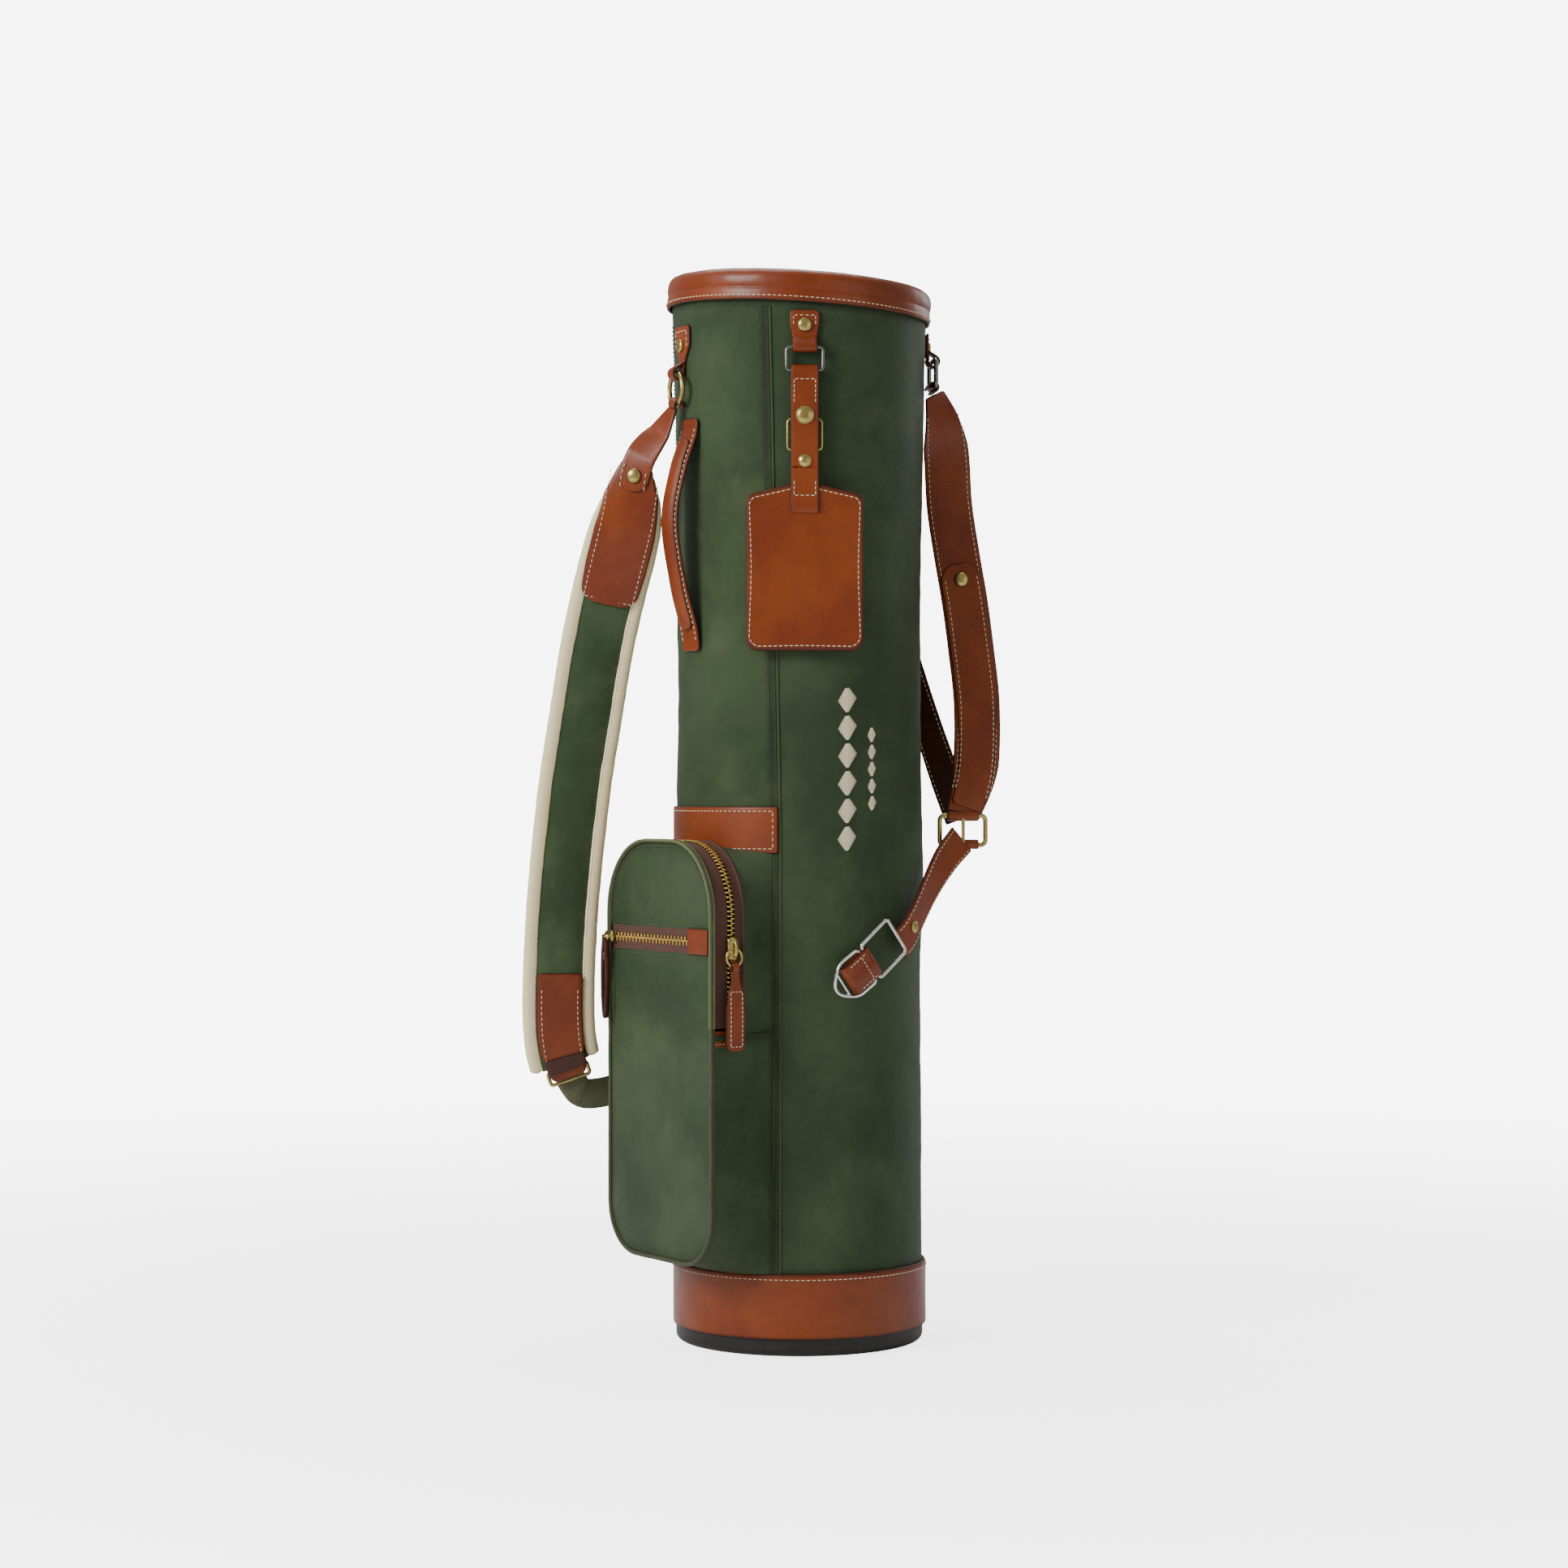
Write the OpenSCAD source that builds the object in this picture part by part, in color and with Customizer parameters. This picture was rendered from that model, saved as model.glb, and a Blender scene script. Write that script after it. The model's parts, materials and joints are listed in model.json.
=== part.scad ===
// Slim round golf carry bag in waxed canvas and leather, with one zipped pocket.
// Millimetres, +Z up. The origin is the centre of the face that the bag rests on.
// Angles round the bag start at the middle of the pocket (-Y) and grow towards +X.

/* [Body] */
// Radius of the canvas cover
body_r = 100; // [90:1:125]
// Height of the top frame's seat, at the middle of the bag
rim_z = 852; // [845:1:1100]
// Tilt of the mouth, in degrees
rim_tilt = 3.5; // [0:0.5:5]
// How far the mouth flares beyond the body radius
top_flare = 4.5; // [0:0.5:6]
// Thickness of the canvas cover
canvas_t = 1.4; // [1:0.1:2]
// Thickness of the stiffening tube
tube_t = 1.8; // [1.2:0.1:2.4]
// Thickness of the lining
lining_t = 1.2; // [0.8:0.1:1.6]

/* [Base and collar] */
// Thickness of the moulded foot
foot_t = 14; // [10:1:20]
// Height of the leather cuff at the base
cuff_h = 52; // [40:1:55]
// Thickness of the leather cuff at the base
cuff_t = 3.4; // [2:0.2:5]
// Wall of the base cup
cup_t = 3; // [2:0.5:4]
// Thickness of the pad that the clubs stand on
pad_t = 8; // [4:1:12]
// Leather thickness of the rolled collar
collar_t = 2.6; // [1.6:0.2:3]
// How far the collar stands above the frame's seat
collar_up = 10; // [9:1:14]
// How far the collar reaches down from the frame's seat
collar_down = 16; // [12:1:24]

/* [Pocket] */
// Width of the pocket
pocket_w = 156; // [140:1:164]
// Height of the pocket
pocket_h = 333; // [320:1:340]
// Height of the pocket's lower edge above the floor
pocket_z = 75; // [70:1:80]
// How far the pocket stands out in front of the body
pocket_out = 34; // [32:1:46]
// Radius of the pocket's top corners
pocket_top_r = 58; // [40:1:68]
// Radius of the pocket's bottom corners
pocket_low_r = 40; // [25:1:60]
// Thickness of the gusset and of the front panel
pocket_t = 2.6; // [2:0.2:3.2]
// Height of the flap's hinge line above the pocket's lower edge
hinge_up = 187; // [180:1:200]
// Height of the short front zip above the pocket's lower edge
front_zip_up = 255; // [245:1:262]
// Width of the leather band above the pocket
band_h = 37; // [25:1:45]

/* [Leather and hardware] */
// Thickness of strap leather
leather_t = 2.4; // [1.8:0.2:3]
// Width of the shoulder strap
strap_w = 60; // [50:1:62]
// Width of the strap on the right side
side_w = 38; // [30:1:40]
// Width of the carry handle
handle_w = 27; // [20:1:34]
// Width of the name plate
plate_w = 93; // [80:1:100]
// Height of the name plate
plate_h = 132; // [110:1:140]
// Width of the strap that carries the name plate
tag_w = 22; // [18:1:24]
// Wire radius of the large rings
ring_wire = 2; // [1.6:0.1:2.2]

/* [Hidden] */
$fn = 96;

gap = 0.2;          // between layers that are sewn or laid together
free = 0.4;         // between pieces that move apart
far = 400;          // reach of the cutting blocks
flare_z = rim_z - 290;
seat_z = foot_t;
tube_r = body_r - canvas_t - gap;
lining_r = tube_r - tube_t - gap;
cup_r = lining_r - lining_t - gap;
low_side = 140;     // the mouth is lowest at this angle

// Pocket planes, as distances in front of the bag's axis
panel_y = body_r + pocket_out;
piping_y = panel_y + 2;
piping_t = 5;
chain_y = panel_y - 19;
zip_back_y = panel_y - 30;
hinge_z = pocket_z + hinge_up;
zip_end_z = hinge_z - 7;
pocket_top = pocket_z + pocket_h;
front_zip_z = pocket_z + front_zip_up;
front_zip_h = 20;
teeth_up = 0.8;
front_patch_x = 45;
seam_angle = 41;
band_z = pocket_top - 9;

// Places of the tabs under the rim
strap_tab_angle = -8;
strap_ring_r = 13;
strap_ring_z = rim_z - 79;
strap_out = 7.4;
tag_angle = 59;
tag_bar_z = rim_z - 53;
tag_out = 4.8;
tag_wire = 1.5;
tag_ring_w = 32;
tag_ring_h = 21;
rear_angle = 153;
rear_bar_z = rim_z - 50;
rear_out = 7.4;
rear_bore_r = ring_wire + 1.6;
rear_ring_w = 42;
rear_ring_h = 26;
strap_anchor_angle = -85;
strap_anchor_z = rim_z - 612;
back_anchor_angle = 185;
back_anchor_z = rim_z - 262;

// Route of the shoulder strap: angle, distance off the body, distance below the rim, and the
// angle that its face looks towards
shoulder_route = [
    [-8, 9, 92, -8], [-11, 18, 112, 12], [-16, 35, 145, 44], [-19, 44, 188, 60],
    [-25, 57, 244, 66], [-28, 66, 287, 68], [-32, 75, 341, 68], [-35, 84, 394, 68],
    [-37, 91, 447, 68], [-39, 97, 501, 68], [-41, 101, 554, 68], [-42, 102, 594, 67],
    [-43, 100, 620, 66], [-45, 94, 645, 64]
];
webbing_route = [
    [-45, 93, 648, 66], [-47, 84, 656, 70], [-52, 66, 654, 78], [-60, 45, 644, 86],
    [-72, 22, 628, 92], [-85, 6, 612, 95]
];
side_route = [
    [153, 9.5, 76.5, 138], [155, 17, 98, 98], [158, 23, 128, 62], [158, 26, 168, 58],
    [157, 32, 208, 56], [155, 38, 247, 56], [154, 43, 287, 56], [152, 47, 334, 56],
    [150, 45, 387, 57], [147, 34, 424, 64]
];
back_route = [
    [152, 34, 428, 55], [158, 24, 395, 42], [166, 14, 352, 26], [176, 8, 305, 12],
    [185, 6, 262, 5]
];
tail_route = [
    [146, 34, 442, 70], [137, 22, 458, 92], [128, 13, 480, 112], [119, 8, 503, 119],
    [112, 7, 518, 112], [104, 7.5, 528, 104]
];
handle_route = [
    [-2, 1.4, 104, -2], [-2, 3, 118, -2], [-2, 13, 145, -2], [-2, 21, 187, -2],
    [-2, 13, 240, -2], [-2, 4, 272, -2], [-2, 1.4, 291, -2]
];

// ---- Rules shared by the pieces ----

function skin_r(z) = body_r + top_flare * pow(max(0, (z - flare_z) / (rim_z - flare_z)), 2);
function at_angle(a, r, z) = [r * sin(a), -r * cos(a), z];
function unit(v) = v / norm(v);
function arc(x, z, r, from, to, n = 10) = [
    for (i = [0:n]) [x + r * cos(from + (to - from) * i / n), z + r * sin(from + (to - from) * i / n)]
];

// A smooth curve through the rows of a route, at a place counted in rows
function between(p, q, r, s, t) = (2 * q + (r - p) * t + (2 * p - 5 * q + 4 * r - s) * t * t
    + (3 * q - p - 3 * r + s) * t * t * t) / 2;
function route_row(route, s) =
    let (last = len(route) - 1, i = min(floor(s), last - 1))
    between(route[max(i - 1, 0)], route[i], route[i + 1], route[min(i + 2, last)], s - i);
function route_point(route, s) =
    let (row = route_row(route, s))
    at_angle(row[0], skin_r(rim_z - row[2]) + row[1], rim_z - row[2]);
function route_face(route, s) = at_angle(route_row(route, s)[3], 1, 0);
function route_run(route, s) =
    let (last = len(route) - 1)
    unit(route_point(route, min(s + 0.05, last)) - route_point(route, max(s - 0.05, 0)));
function mix_list(list, t) =
    let (i = min(floor(t * (len(list) - 1)), len(list) - 2), u = t * (len(list) - 1) - i)
    list[i] * (1 - u) + list[i + 1] * u;

function route_across(route, s) = unit(cross(route_run(route, s), route_face(route, s)));
function route_out(route, s) = cross(route_across(route, s), route_run(route, s));

// Strap along a route, from row s0 to row s1: widths and lifts are spaced evenly along it, a lift
// moves it out along its face and shift moves it along its width
module ribbon(route, s0, s1, widths, t, lifts = [0, 0], shift = 0, steps = 24) {
    rings = [
        for (k = [0:steps])
            let (s = s0 + (s1 - s0) * k / steps, across = route_across(route, s),
                out = route_out(route, s), w = mix_list(widths, k / steps) / 2,
                p = route_point(route, s) + across * shift + out * mix_list(lifts, k / steps))
            each [p - across * w - out * t / 2, p + across * w - out * t / 2,
                p + across * w + out * t / 2, p - across * w + out * t / 2]
    ];
    sides = [
        for (k = [0:steps - 1])
            for (j = [0:3])
                let (a = 4 * k + j, b = 4 * k + (j + 1) % 4)
                each [[a, b, b + 4], [a, b + 4, a + 4]]
    ];
    last = 4 * steps;
    polyhedron(rings, concat([[3, 2, 1, 0], [last, last + 1, last + 2, last + 3]], sides));
}

// Turns a piece drawn at -Y to an angle round the bag
module turned(a) {
    rotate([0, 0, a])
        children();
}

// Puts a piece on a strap's face: its own -Y looks away from the strap
module on_route(route, s, lift) {
    out = route_out(route, s);
    translate(route_point(route, s) + out * lift)
        rotate([0, 0, atan2(out[0], -out[1])])
            rotate([-asin(out[2]), 0, 0])
                children();
}

// Puts a piece on the canvas: its own -Y looks away from the bag
module on_skin(a, z, out, slope = 0) {
    turned(a)
        translate([0, -(skin_r(z) + out), z])
            rotate([0, slope, 0])
                children();
}

module tilted() {
    translate([0, 0, rim_z])
        rotate(a = rim_tilt, v = [cos(low_side), sin(low_side), 0])
            children();
}

// Everything below a plane parallel to the mouth
module below_mouth(down) {
    tilted()
        translate([-far, -far, -2 * rim_z - down])
            cube([2 * far, 2 * far, 2 * rim_z]);
}

module wedge(a0, a1) {
    reach = 3 * body_r;
    linear_extrude(height = 2 * rim_z)
        polygon([
            [0, 0],
            for (i = [0:4]) let (a = a0 + (a1 - a0) * i / 4) [reach * sin(a), -reach * cos(a)]
        ]);
}

// One layer of the body, between two depths under the canvas surface
module layer(z0, z1, inner, outer) {
    levels = [z0, for (z = [flare_z:48:z1 - 10]) if (z > z0 + 1) z, z1];
    rotate_extrude()
        polygon(concat(
            [for (z = levels) [skin_r(z) - inner, z]],
            [for (i = [len(levels) - 1:-1:0]) [skin_r(levels[i]) - outer, levels[i]]]
        ));
}

// A patch laid on the canvas between two angles and two heights
module skin_patch(a, width, z0, z1, t) {
    turned(a)
        intersection() {
            layer(z0, z1, -gap, -gap - t);
            translate([-width / 2, -2 * body_r, 0])
                cube([width, 2 * body_r, 2 * rim_z]);
        }
}

// Leather turned round a bar that runs along the skin
module bar_loop(a, z, out, width, bore_r, wall = leather_t) {
    on_skin(a, z, out)
        rotate([0, 90, 0])
            difference() {
                cylinder(h = width, r = bore_r + wall, center = true);
                cylinder(h = width + 2, r = bore_r, center = true);
            }
}

module rod(length, r) {
    rotate([0, 90, 0])
        cylinder(h = length, r = r, center = true);
}

// Quarter turn of wire: it leaves the origin along +X and arrives running along +Y
module wire_bend(r, bend) {
    translate([0, bend, 0])
        rotate([0, 0, -90])
            rotate_extrude(angle = 90)
                translate([bend, 0])
                    circle(r = r, $fn = 48);
}

// Wire frame with bent corners, flat in XZ
module wire_frame(w, h, r, bend) {
    x = w / 2 - r;
    z = h / 2 - r;
    for (turn = [0, 180])
        rotate([90, turn, 0]) {
            translate([0, z, 0])
                rod(2 * (x - bend), r);
            translate([-x, 0, 0])
                rotate([90, 0, 0])
                    cylinder(h = 2 * (z - bend), r = r, center = true);
            translate([x - bend, -z, 0])
                wire_bend(r, bend);
            translate([-x, bend - z, 0])
                rotate([0, 0, -90])
                    wire_bend(r, bend);
        }
}

// Domed rivet head that looks along -Y
module rivet(r, head) {
    rotate([90, 0, 0]) {
        cylinder(h = head / 2, r = r);
        translate([0, 0, head / 2])
            cylinder(h = head / 2, r1 = r, r2 = r * 0.6);
    }
}

// Pocket outline in X and Z, drawn in by an inset
function outline(inset) =
    let (x = pocket_w / 2 - inset, top = pocket_top - inset, low = pocket_z + inset,
        rt = pocket_top_r - inset, rl = pocket_low_r - inset)
    concat(
        arc(x - rt, top - rt, rt, 0, 90), arc(rt - x, top - rt, rt, 90, 180),
        arc(rl - x, low + rl, rl, 180, 270), arc(x - rl, low + rl, rl, 270, 360)
    );

// Slab of the pocket's outline, between two distances in front of the axis
module pocket_slab(inset, y0, y1) {
    translate([0, -y0, 0])
        rotate([90, 0, 0])
            linear_extrude(height = y1 - y0)
                polygon(outline(inset));
}

module pocket_ring(inset, wall, y0, y1, z0, z1) {
    intersection() {
        difference() {
            pocket_slab(inset, y0, y1);
            pocket_slab(inset + wall, y0 - 1, y1 + 1);
        }
        translate([-pocket_w, -2 * panel_y, z0])
            cube([2 * pocket_w, 2 * panel_y, z1 - z0]);
    }
}

// Slab in front of the axis from y0 to y1, over a height
module front_block(w, y0, y1, z0, z1) {
    translate([-w / 2, -y1, z0])
        cube([w, y1 - y0, z1 - z0]);
}

// ---- Body ----

screw_ring_r = 60;
screw_head_r = 4.6;

module foot_screw_places() {
    for (a = [45:90:315])
        rotate([0, 0, a])
            translate([screw_ring_r, 0, 0])
                children();
}

module base_foot() {
    color("#2b2a28")
        difference() {
            rotate_extrude()
                polygon(concat(
                    [[0, 0]], arc(body_r - 5, 6, 6, -90, 0), [[body_r + 1, foot_t], [0, foot_t]]
                ));
            foot_screw_places() {
                translate([0, 0, -1])
                    cylinder(h = 5, r = screw_head_r + gap);
                cylinder(h = foot_t + 1, r = 2.2);
            }
        }
}

module foot_screws() {
    color("silver")
        foot_screw_places() {
            translate([0, 0, 1])
                cylinder(h = 3, r = screw_head_r);
            translate([0, 0, 4])
                cylinder(h = foot_t + cup_t - 5, r = 2);
        }
}

module base_cup() {
    color("#3a3936")
        difference() {
            translate([0, 0, seat_z])
                cylinder(h = cuff_h - 6, r = cup_r);
            translate([0, 0, seat_z + cup_t])
                cylinder(h = cuff_h, r = cup_r - cup_t);
            foot_screw_places()
                translate([0, 0, seat_z - 1])
                    cylinder(h = cup_t + 2, r = 2.05);
        }
}

module club_pad() {
    color("#4a4a48")
        translate([0, 0, seat_z + cup_t])
            cylinder(h = pad_t, r = cup_r - cup_t - gap);
}

module base_cuff() {
    color("#8a4423")
        rotate_extrude()
            polygon(concat(
                [[body_r + gap, seat_z], [body_r + gap + cuff_t, seat_z]],
                arc(body_r + gap + cuff_t - 1.5, seat_z + cuff_h - 1.5, 1.5, 0, 90, 4),
                [[body_r + gap, seat_z + cuff_h]]
            ));
}

module stiffening_tube() {
    color("#d9d6cc")
        intersection() {
            layer(seat_z, rim_z + 8, body_r - tube_r, body_r - tube_r + tube_t);
            below_mouth(0);
        }
}

module lining() {
    color("#4d4a40")
        intersection() {
            layer(seat_z, rim_z + 8, body_r - lining_r, body_r - lining_r + lining_t);
            below_mouth(0);
        }
}

module canvas_cover() {
    intersection() {
        layer(seat_z, rim_z + 8, 0, canvas_t);
        below_mouth(0);
    }
}

module main_canvas() {
    color("#3f4c37")
        difference() {
            canvas_cover();
            wedge(-seam_angle, seam_angle);
        }
}

module front_canvas() {
    color("#3b4834")
        intersection() {
            canvas_cover();
            wedge(-seam_angle, seam_angle);
        }
}

module seam_welts() {
    color("#364231")
        for (side = [-1, 1])
            skin_patch(side * (seam_angle + 3), 5, pocket_top + 4, rim_z - 40, 0.8);
}

// The moulded frame stands inside the lining and its flange lies on the layers
frame_t = 3;
frame_flange = 3;
frame_h = 26;
frame_low_r = skin_r(rim_z - frame_h - body_r * sin(rim_tilt)) - body_r + lining_r - lining_t;
frame_r = frame_low_r - frame_h * sin(rim_tilt) - gap;

module top_frame() {
    color("#2f2e2b")
        tilted()
            rotate_extrude()
                polygon([
                    [frame_r - frame_t, -frame_h], [frame_r, -frame_h], [frame_r, gap],
                    [body_r + top_flare, gap], [body_r + top_flare, gap + frame_flange],
                    [frame_r - frame_t, gap + frame_flange]
                ]);
}

module top_collar() {
    outer = body_r + top_flare + collar_down * sin(rim_tilt) + gap + collar_t;
    inner = frame_r - frame_t - gap - collar_t;
    color("#9a4b26")
        tilted()
            rotate_extrude()
                polygon(concat(
                    [[outer - collar_t, -collar_down], [outer, -collar_down]],
                    arc(outer - 5, collar_up - 5, 5, 0, 90, 6),
                    arc(inner + 5, collar_up - 5, 5, 90, 180, 6),
                    [[inner, -collar_down], [inner + collar_t, -collar_down]],
                    arc(inner + collar_t + 1, collar_up - collar_t - 1, 1, 180, 90, 3),
                    arc(outer - collar_t - 1, collar_up - collar_t - 1, 1, 90, 0, 3)
                ));
}

divider_w = 12;
divider_h = 28;
divider_top = rim_z - 34;

module divider_bar() {
    half = cup_r - 1;
    color("#57402c")
        intersection() {
            translate([-body_r, -divider_w / 2, divider_top - divider_h])
                cube([2 * body_r, divider_w, divider_h]);
            cylinder(h = 2 * rim_z, r = half);
        }
}

module divider_cloth() {
    low = seat_z + cup_t + pad_t + 1;
    half = cup_r - cup_t - 1;
    color("#6b6655")
        translate([-half, -0.8, low])
            cube([2 * half, 1.6, divider_top - divider_h - low]);
}

module pocket_band() {
    color("#8f4724")
        intersection() {
            layer(band_z, band_z + band_h, -gap, -gap - leather_t);
            wedge(-seam_angle, seam_angle);
        }
}

// ---- Pocket ----

module pocket_gusset() {
    color("#42503a")
        difference() {
            union() {
                pocket_ring(0, pocket_t, 0, zip_back_y, pocket_z - 1, pocket_top + 1);
                pocket_ring(0, pocket_t, 0, panel_y - pocket_t - gap, pocket_z - 1, zip_end_z);
            }
            cylinder(h = band_z - gap, r = body_r + gap);
            translate([0, 0, band_z - 2 * gap])
                cylinder(h = band_h, r = body_r + leather_t + 2 * gap);
        }
}

module pocket_lower_panel() {
    color("#3f4d38")
        intersection() {
            pocket_slab(0, panel_y - pocket_t, panel_y);
            front_block(2 * pocket_w, 0, 2 * panel_y, pocket_z, hinge_z - 1);
        }
}

module pocket_lower_piping() {
    color("#5f6440")
        pocket_ring(-2, 2 - gap, piping_y - piping_t, piping_y, pocket_z - 3, hinge_z - 1);
}

// Half of the arched zip: its tape, with the teeth standing on the tape's inner edge
module zip_half(y_tape, y_teeth, z0) {
    tape = [min(y_tape, y_teeth), max(y_tape, y_teeth)];
    pocket_ring(0.6, 1.4, tape[0], tape[1], z0, pocket_top + 1);
    teeth = [min(y_teeth, chain_y), max(y_teeth, chain_y)];
    pocket_ring(-teeth_up, 3.2, teeth[0], teeth[1], z0, pocket_top + 2);
}

module main_zip_outer_chain() {
    color("#a2894a")
        difference() {
            zip_half(zip_back_y, chain_y - 3, zip_end_z);
            front_block(2 * pocket_w, chain_y - gap, panel_y, 0, 2 * rim_z);
        }
}

module flap_panel() {
    color("#42503a")
        difference() {
            intersection() {
                pocket_slab(0, panel_y - pocket_t, panel_y);
                front_block(2 * pocket_w, 0, 2 * panel_y, hinge_z + 0.6, pocket_top);
            }
            front_block(2 * (pocket_w / 2 - 4), 0, 2 * panel_y, front_zip_z - front_zip_h / 2,
                front_zip_z + front_zip_h / 2);
        }
}

module flap_piping() {
    color("#5f6440")
        pocket_ring(-2, 2 - gap, piping_y - piping_t, piping_y, hinge_z + 0.6, pocket_top + 3);
}

module main_zip_inner_chain() {
    color("#a98f4d")
        difference() {
            zip_half(panel_y - pocket_t - gap, chain_y + 3, hinge_z + 0.6);
            front_block(2 * pocket_w, 0, chain_y + gap, 0, 2 * rim_z);
        }
}

module front_zip_chain() {
    half = pocket_w / 2 - 4 - gap;
    z = front_zip_h / 2 - gap;
    color("#a98f4d")
        union() {
            translate([-half, -(panel_y - 0.6), front_zip_z - z])
                cube([half + front_patch_x, 1.4, 2 * z]);
            translate([-half, -(panel_y + teeth_up), front_zip_z - 3])
                cube([half + front_patch_x, 3, 6]);
        }
}

module front_zip_patch() {
    half = pocket_w / 2 - 4 - gap;
    color("#9a4b26")
        translate([front_patch_x + gap, -(panel_y + 0.6), front_zip_z - front_zip_h / 2 + gap])
            cube([half - front_patch_x - gap, 2, front_zip_h - 2 * gap]);
}

// Zip slider that looks along -Y, with a bridge that a ring's wire runs under along X
bridge_in = 1.8;
bridge_wire = 1.1;
bridge_out = bridge_in + 2 * (bridge_wire + free);
wire_out = bridge_in + free + bridge_wire;

module slider_body(w, h) {
    translate([-w / 2, -bridge_in, -h / 2])
        cube([w, bridge_in, h]);
    for (end = [-1, 1])
        translate([-1.6, -bridge_out, end * 3.2 - 1])
            cube([3.2, bridge_out, 2]);
    translate([-1.6, -bridge_out - 1.2, -4.2])
        cube([3.2, 1.2, 8.4]);
}

slider_z = hinge_z + 63;
slider_out = teeth_up + free;
pull_ring_r = 7;
pull_w = 15;
pull_h = 60;

// The main zip's furniture is drawn at -Y and then put on the right leg of the arch
module on_zip_leg() {
    translate([pocket_w / 2, -chain_y, slider_z])
        rotate([0, 0, 90])
            children();
}

module main_zip_slider() {
    color("#9b8142")
        on_zip_leg()
            translate([0, -slider_out, 0])
                slider_body(10, 18);
}

module main_zip_ring() {
    color("#b39a55")
        on_zip_leg()
            translate([0, -slider_out - wire_out, -pull_ring_r])
                rotate([90, 0, 0])
                    rotate_extrude()
                        translate([pull_ring_r, 0])
                            circle(r = bridge_wire, $fn = 32);
}

// Leather pull with a turned end round the ring's wire
module leather_pull(w, h, wire, bore_r) {
    difference() {
        union() {
            translate([-w / 2, -leather_t / 2, -h - 6])
                cube([w, leather_t, h]);
            translate([-3, -leather_t / 2, -8])
                cube([6, leather_t, 6]);
            rotate([0, 90, 0])
                cylinder(h = 6, r = bore_r + 1.2, center = true);
        }
        rotate([0, 90, 0])
            cylinder(h = 8, r = bore_r, center = true);
    }
}

module main_zip_pull() {
    color("#9a4b26")
        on_zip_leg()
            translate([0, -slider_out - wire_out, -2 * pull_ring_r])
                leather_pull(pull_w, pull_h, bridge_wire, 2.1);
}

front_slider_x = 5 - pocket_w / 2;
front_slider_y = piping_y + free;

module front_zip_slider() {
    color("#9b8142")
        translate([front_slider_x, -front_slider_y, front_zip_z])
            slider_body(12, 10);
}

module front_zip_pull() {
    y = front_slider_y + wire_out;
    color("#4a2616")
        translate([front_slider_x, -y, front_zip_z]) {
            rod(9, bridge_wire);
            for (side = [-1, 1])
                translate([side * 4.5, 0, -4])
                    cylinder(h = 10, r = bridge_wire, center = true);
            difference() {
                translate([-5.6, -1.4, -66])
                    cube([11.2, 2.8, 58]);
                translate([-2.4, -3, -58])
                    cube([4.8, 6, 38]);
            }
        }
}

// ---- Handle and tabs ----

module carry_handle() {
    color("#7a3a1f")
        ribbon(handle_route, 0, len(handle_route) - 1, [handle_w, handle_w], leather_t,
            steps = 36);
}

module tab(a, w, z0, z1, bar_z, out, bore_r, loop_w) {
    skin_patch(a, w, z0, z1, leather_t);
    difference() {
        union() {
            bar_loop(a, bar_z, out, loop_w, bore_r);
            intersection() {
                on_skin(a, bar_z, 0)
                    translate([-loop_w / 2, -leather_t - gap, 0])
                        cube([loop_w, leather_t, z0 - bar_z + 2]);
                difference() {
                    cylinder(h = 2 * rim_z, r = 2 * body_r);
                    translate([0, 0, -1])
                        cylinder(h = 2 * rim_z + 2, r = body_r + top_flare * 0.4);
                }
            }
        }
        on_skin(a, bar_z, out)
            rod(loop_w + 2, bore_r);
        layer(z0 - 60, rim_z, body_r, -0.1);
    }
}

strap_bore_r = ring_wire + 1.6;
strap_loop_z = strap_ring_z + strap_ring_r - 0.7;

module strap_tab() {
    color("#9a4b26")
        tab(strap_tab_angle, 28, strap_loop_z + 5, rim_z - 28, strap_loop_z, strap_out,
            strap_bore_r, 11);
}

module tag_tab() {
    color("#9a4b26")
        tab(tag_angle, 24, tag_bar_z + 3, rim_z - 23, tag_bar_z, tag_out, tag_wire + free, 20);
}

module rear_tab() {
    color("#9a4b26")
        tab(rear_angle, 30, rear_bar_z + 4, rim_z - 28, rear_bar_z, rear_out, rear_bore_r, 12);
}

module strap_anchors() {
    color("#5e2f1a") {
        skin_patch(strap_anchor_angle, 34, strap_anchor_z - 20, strap_anchor_z + 20, leather_t);
        skin_patch(back_anchor_angle, 34, back_anchor_z - 18, back_anchor_z + 18, leather_t);
    }
}

module body_rivets() {
    out = leather_t + 2 * gap;
    color("#b9a566") {
        on_skin(strap_tab_angle, rim_z - 44, out)
            rivet(5, 2.4);
        on_skin(tag_angle, rim_z - 35, out)
            rivet(5.5, 2.4);
        on_skin(rear_angle, rear_bar_z + rear_bore_r + leather_t + 5 + gap, out)
            rivet(5, 2.4);
    }
}

// ---- Shoulder strap ----

module strap_ring() {
    color("#b39a55")
        on_skin(strap_tab_angle, strap_loop_z, strap_out)
            translate([0, 0, strap_ring_z - strap_loop_z])
                rotate([90, 0, 0])
                    rotate_extrude()
                        translate([strap_ring_r, 0])
                            circle(r = ring_wire, $fn = 48);
}

strap_core_t = 8;
binding_w = 12;
face_lift = strap_core_t / 2 + 1 + gap + leather_t / 2;
ply_lift = face_lift + leather_t + gap;

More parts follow.
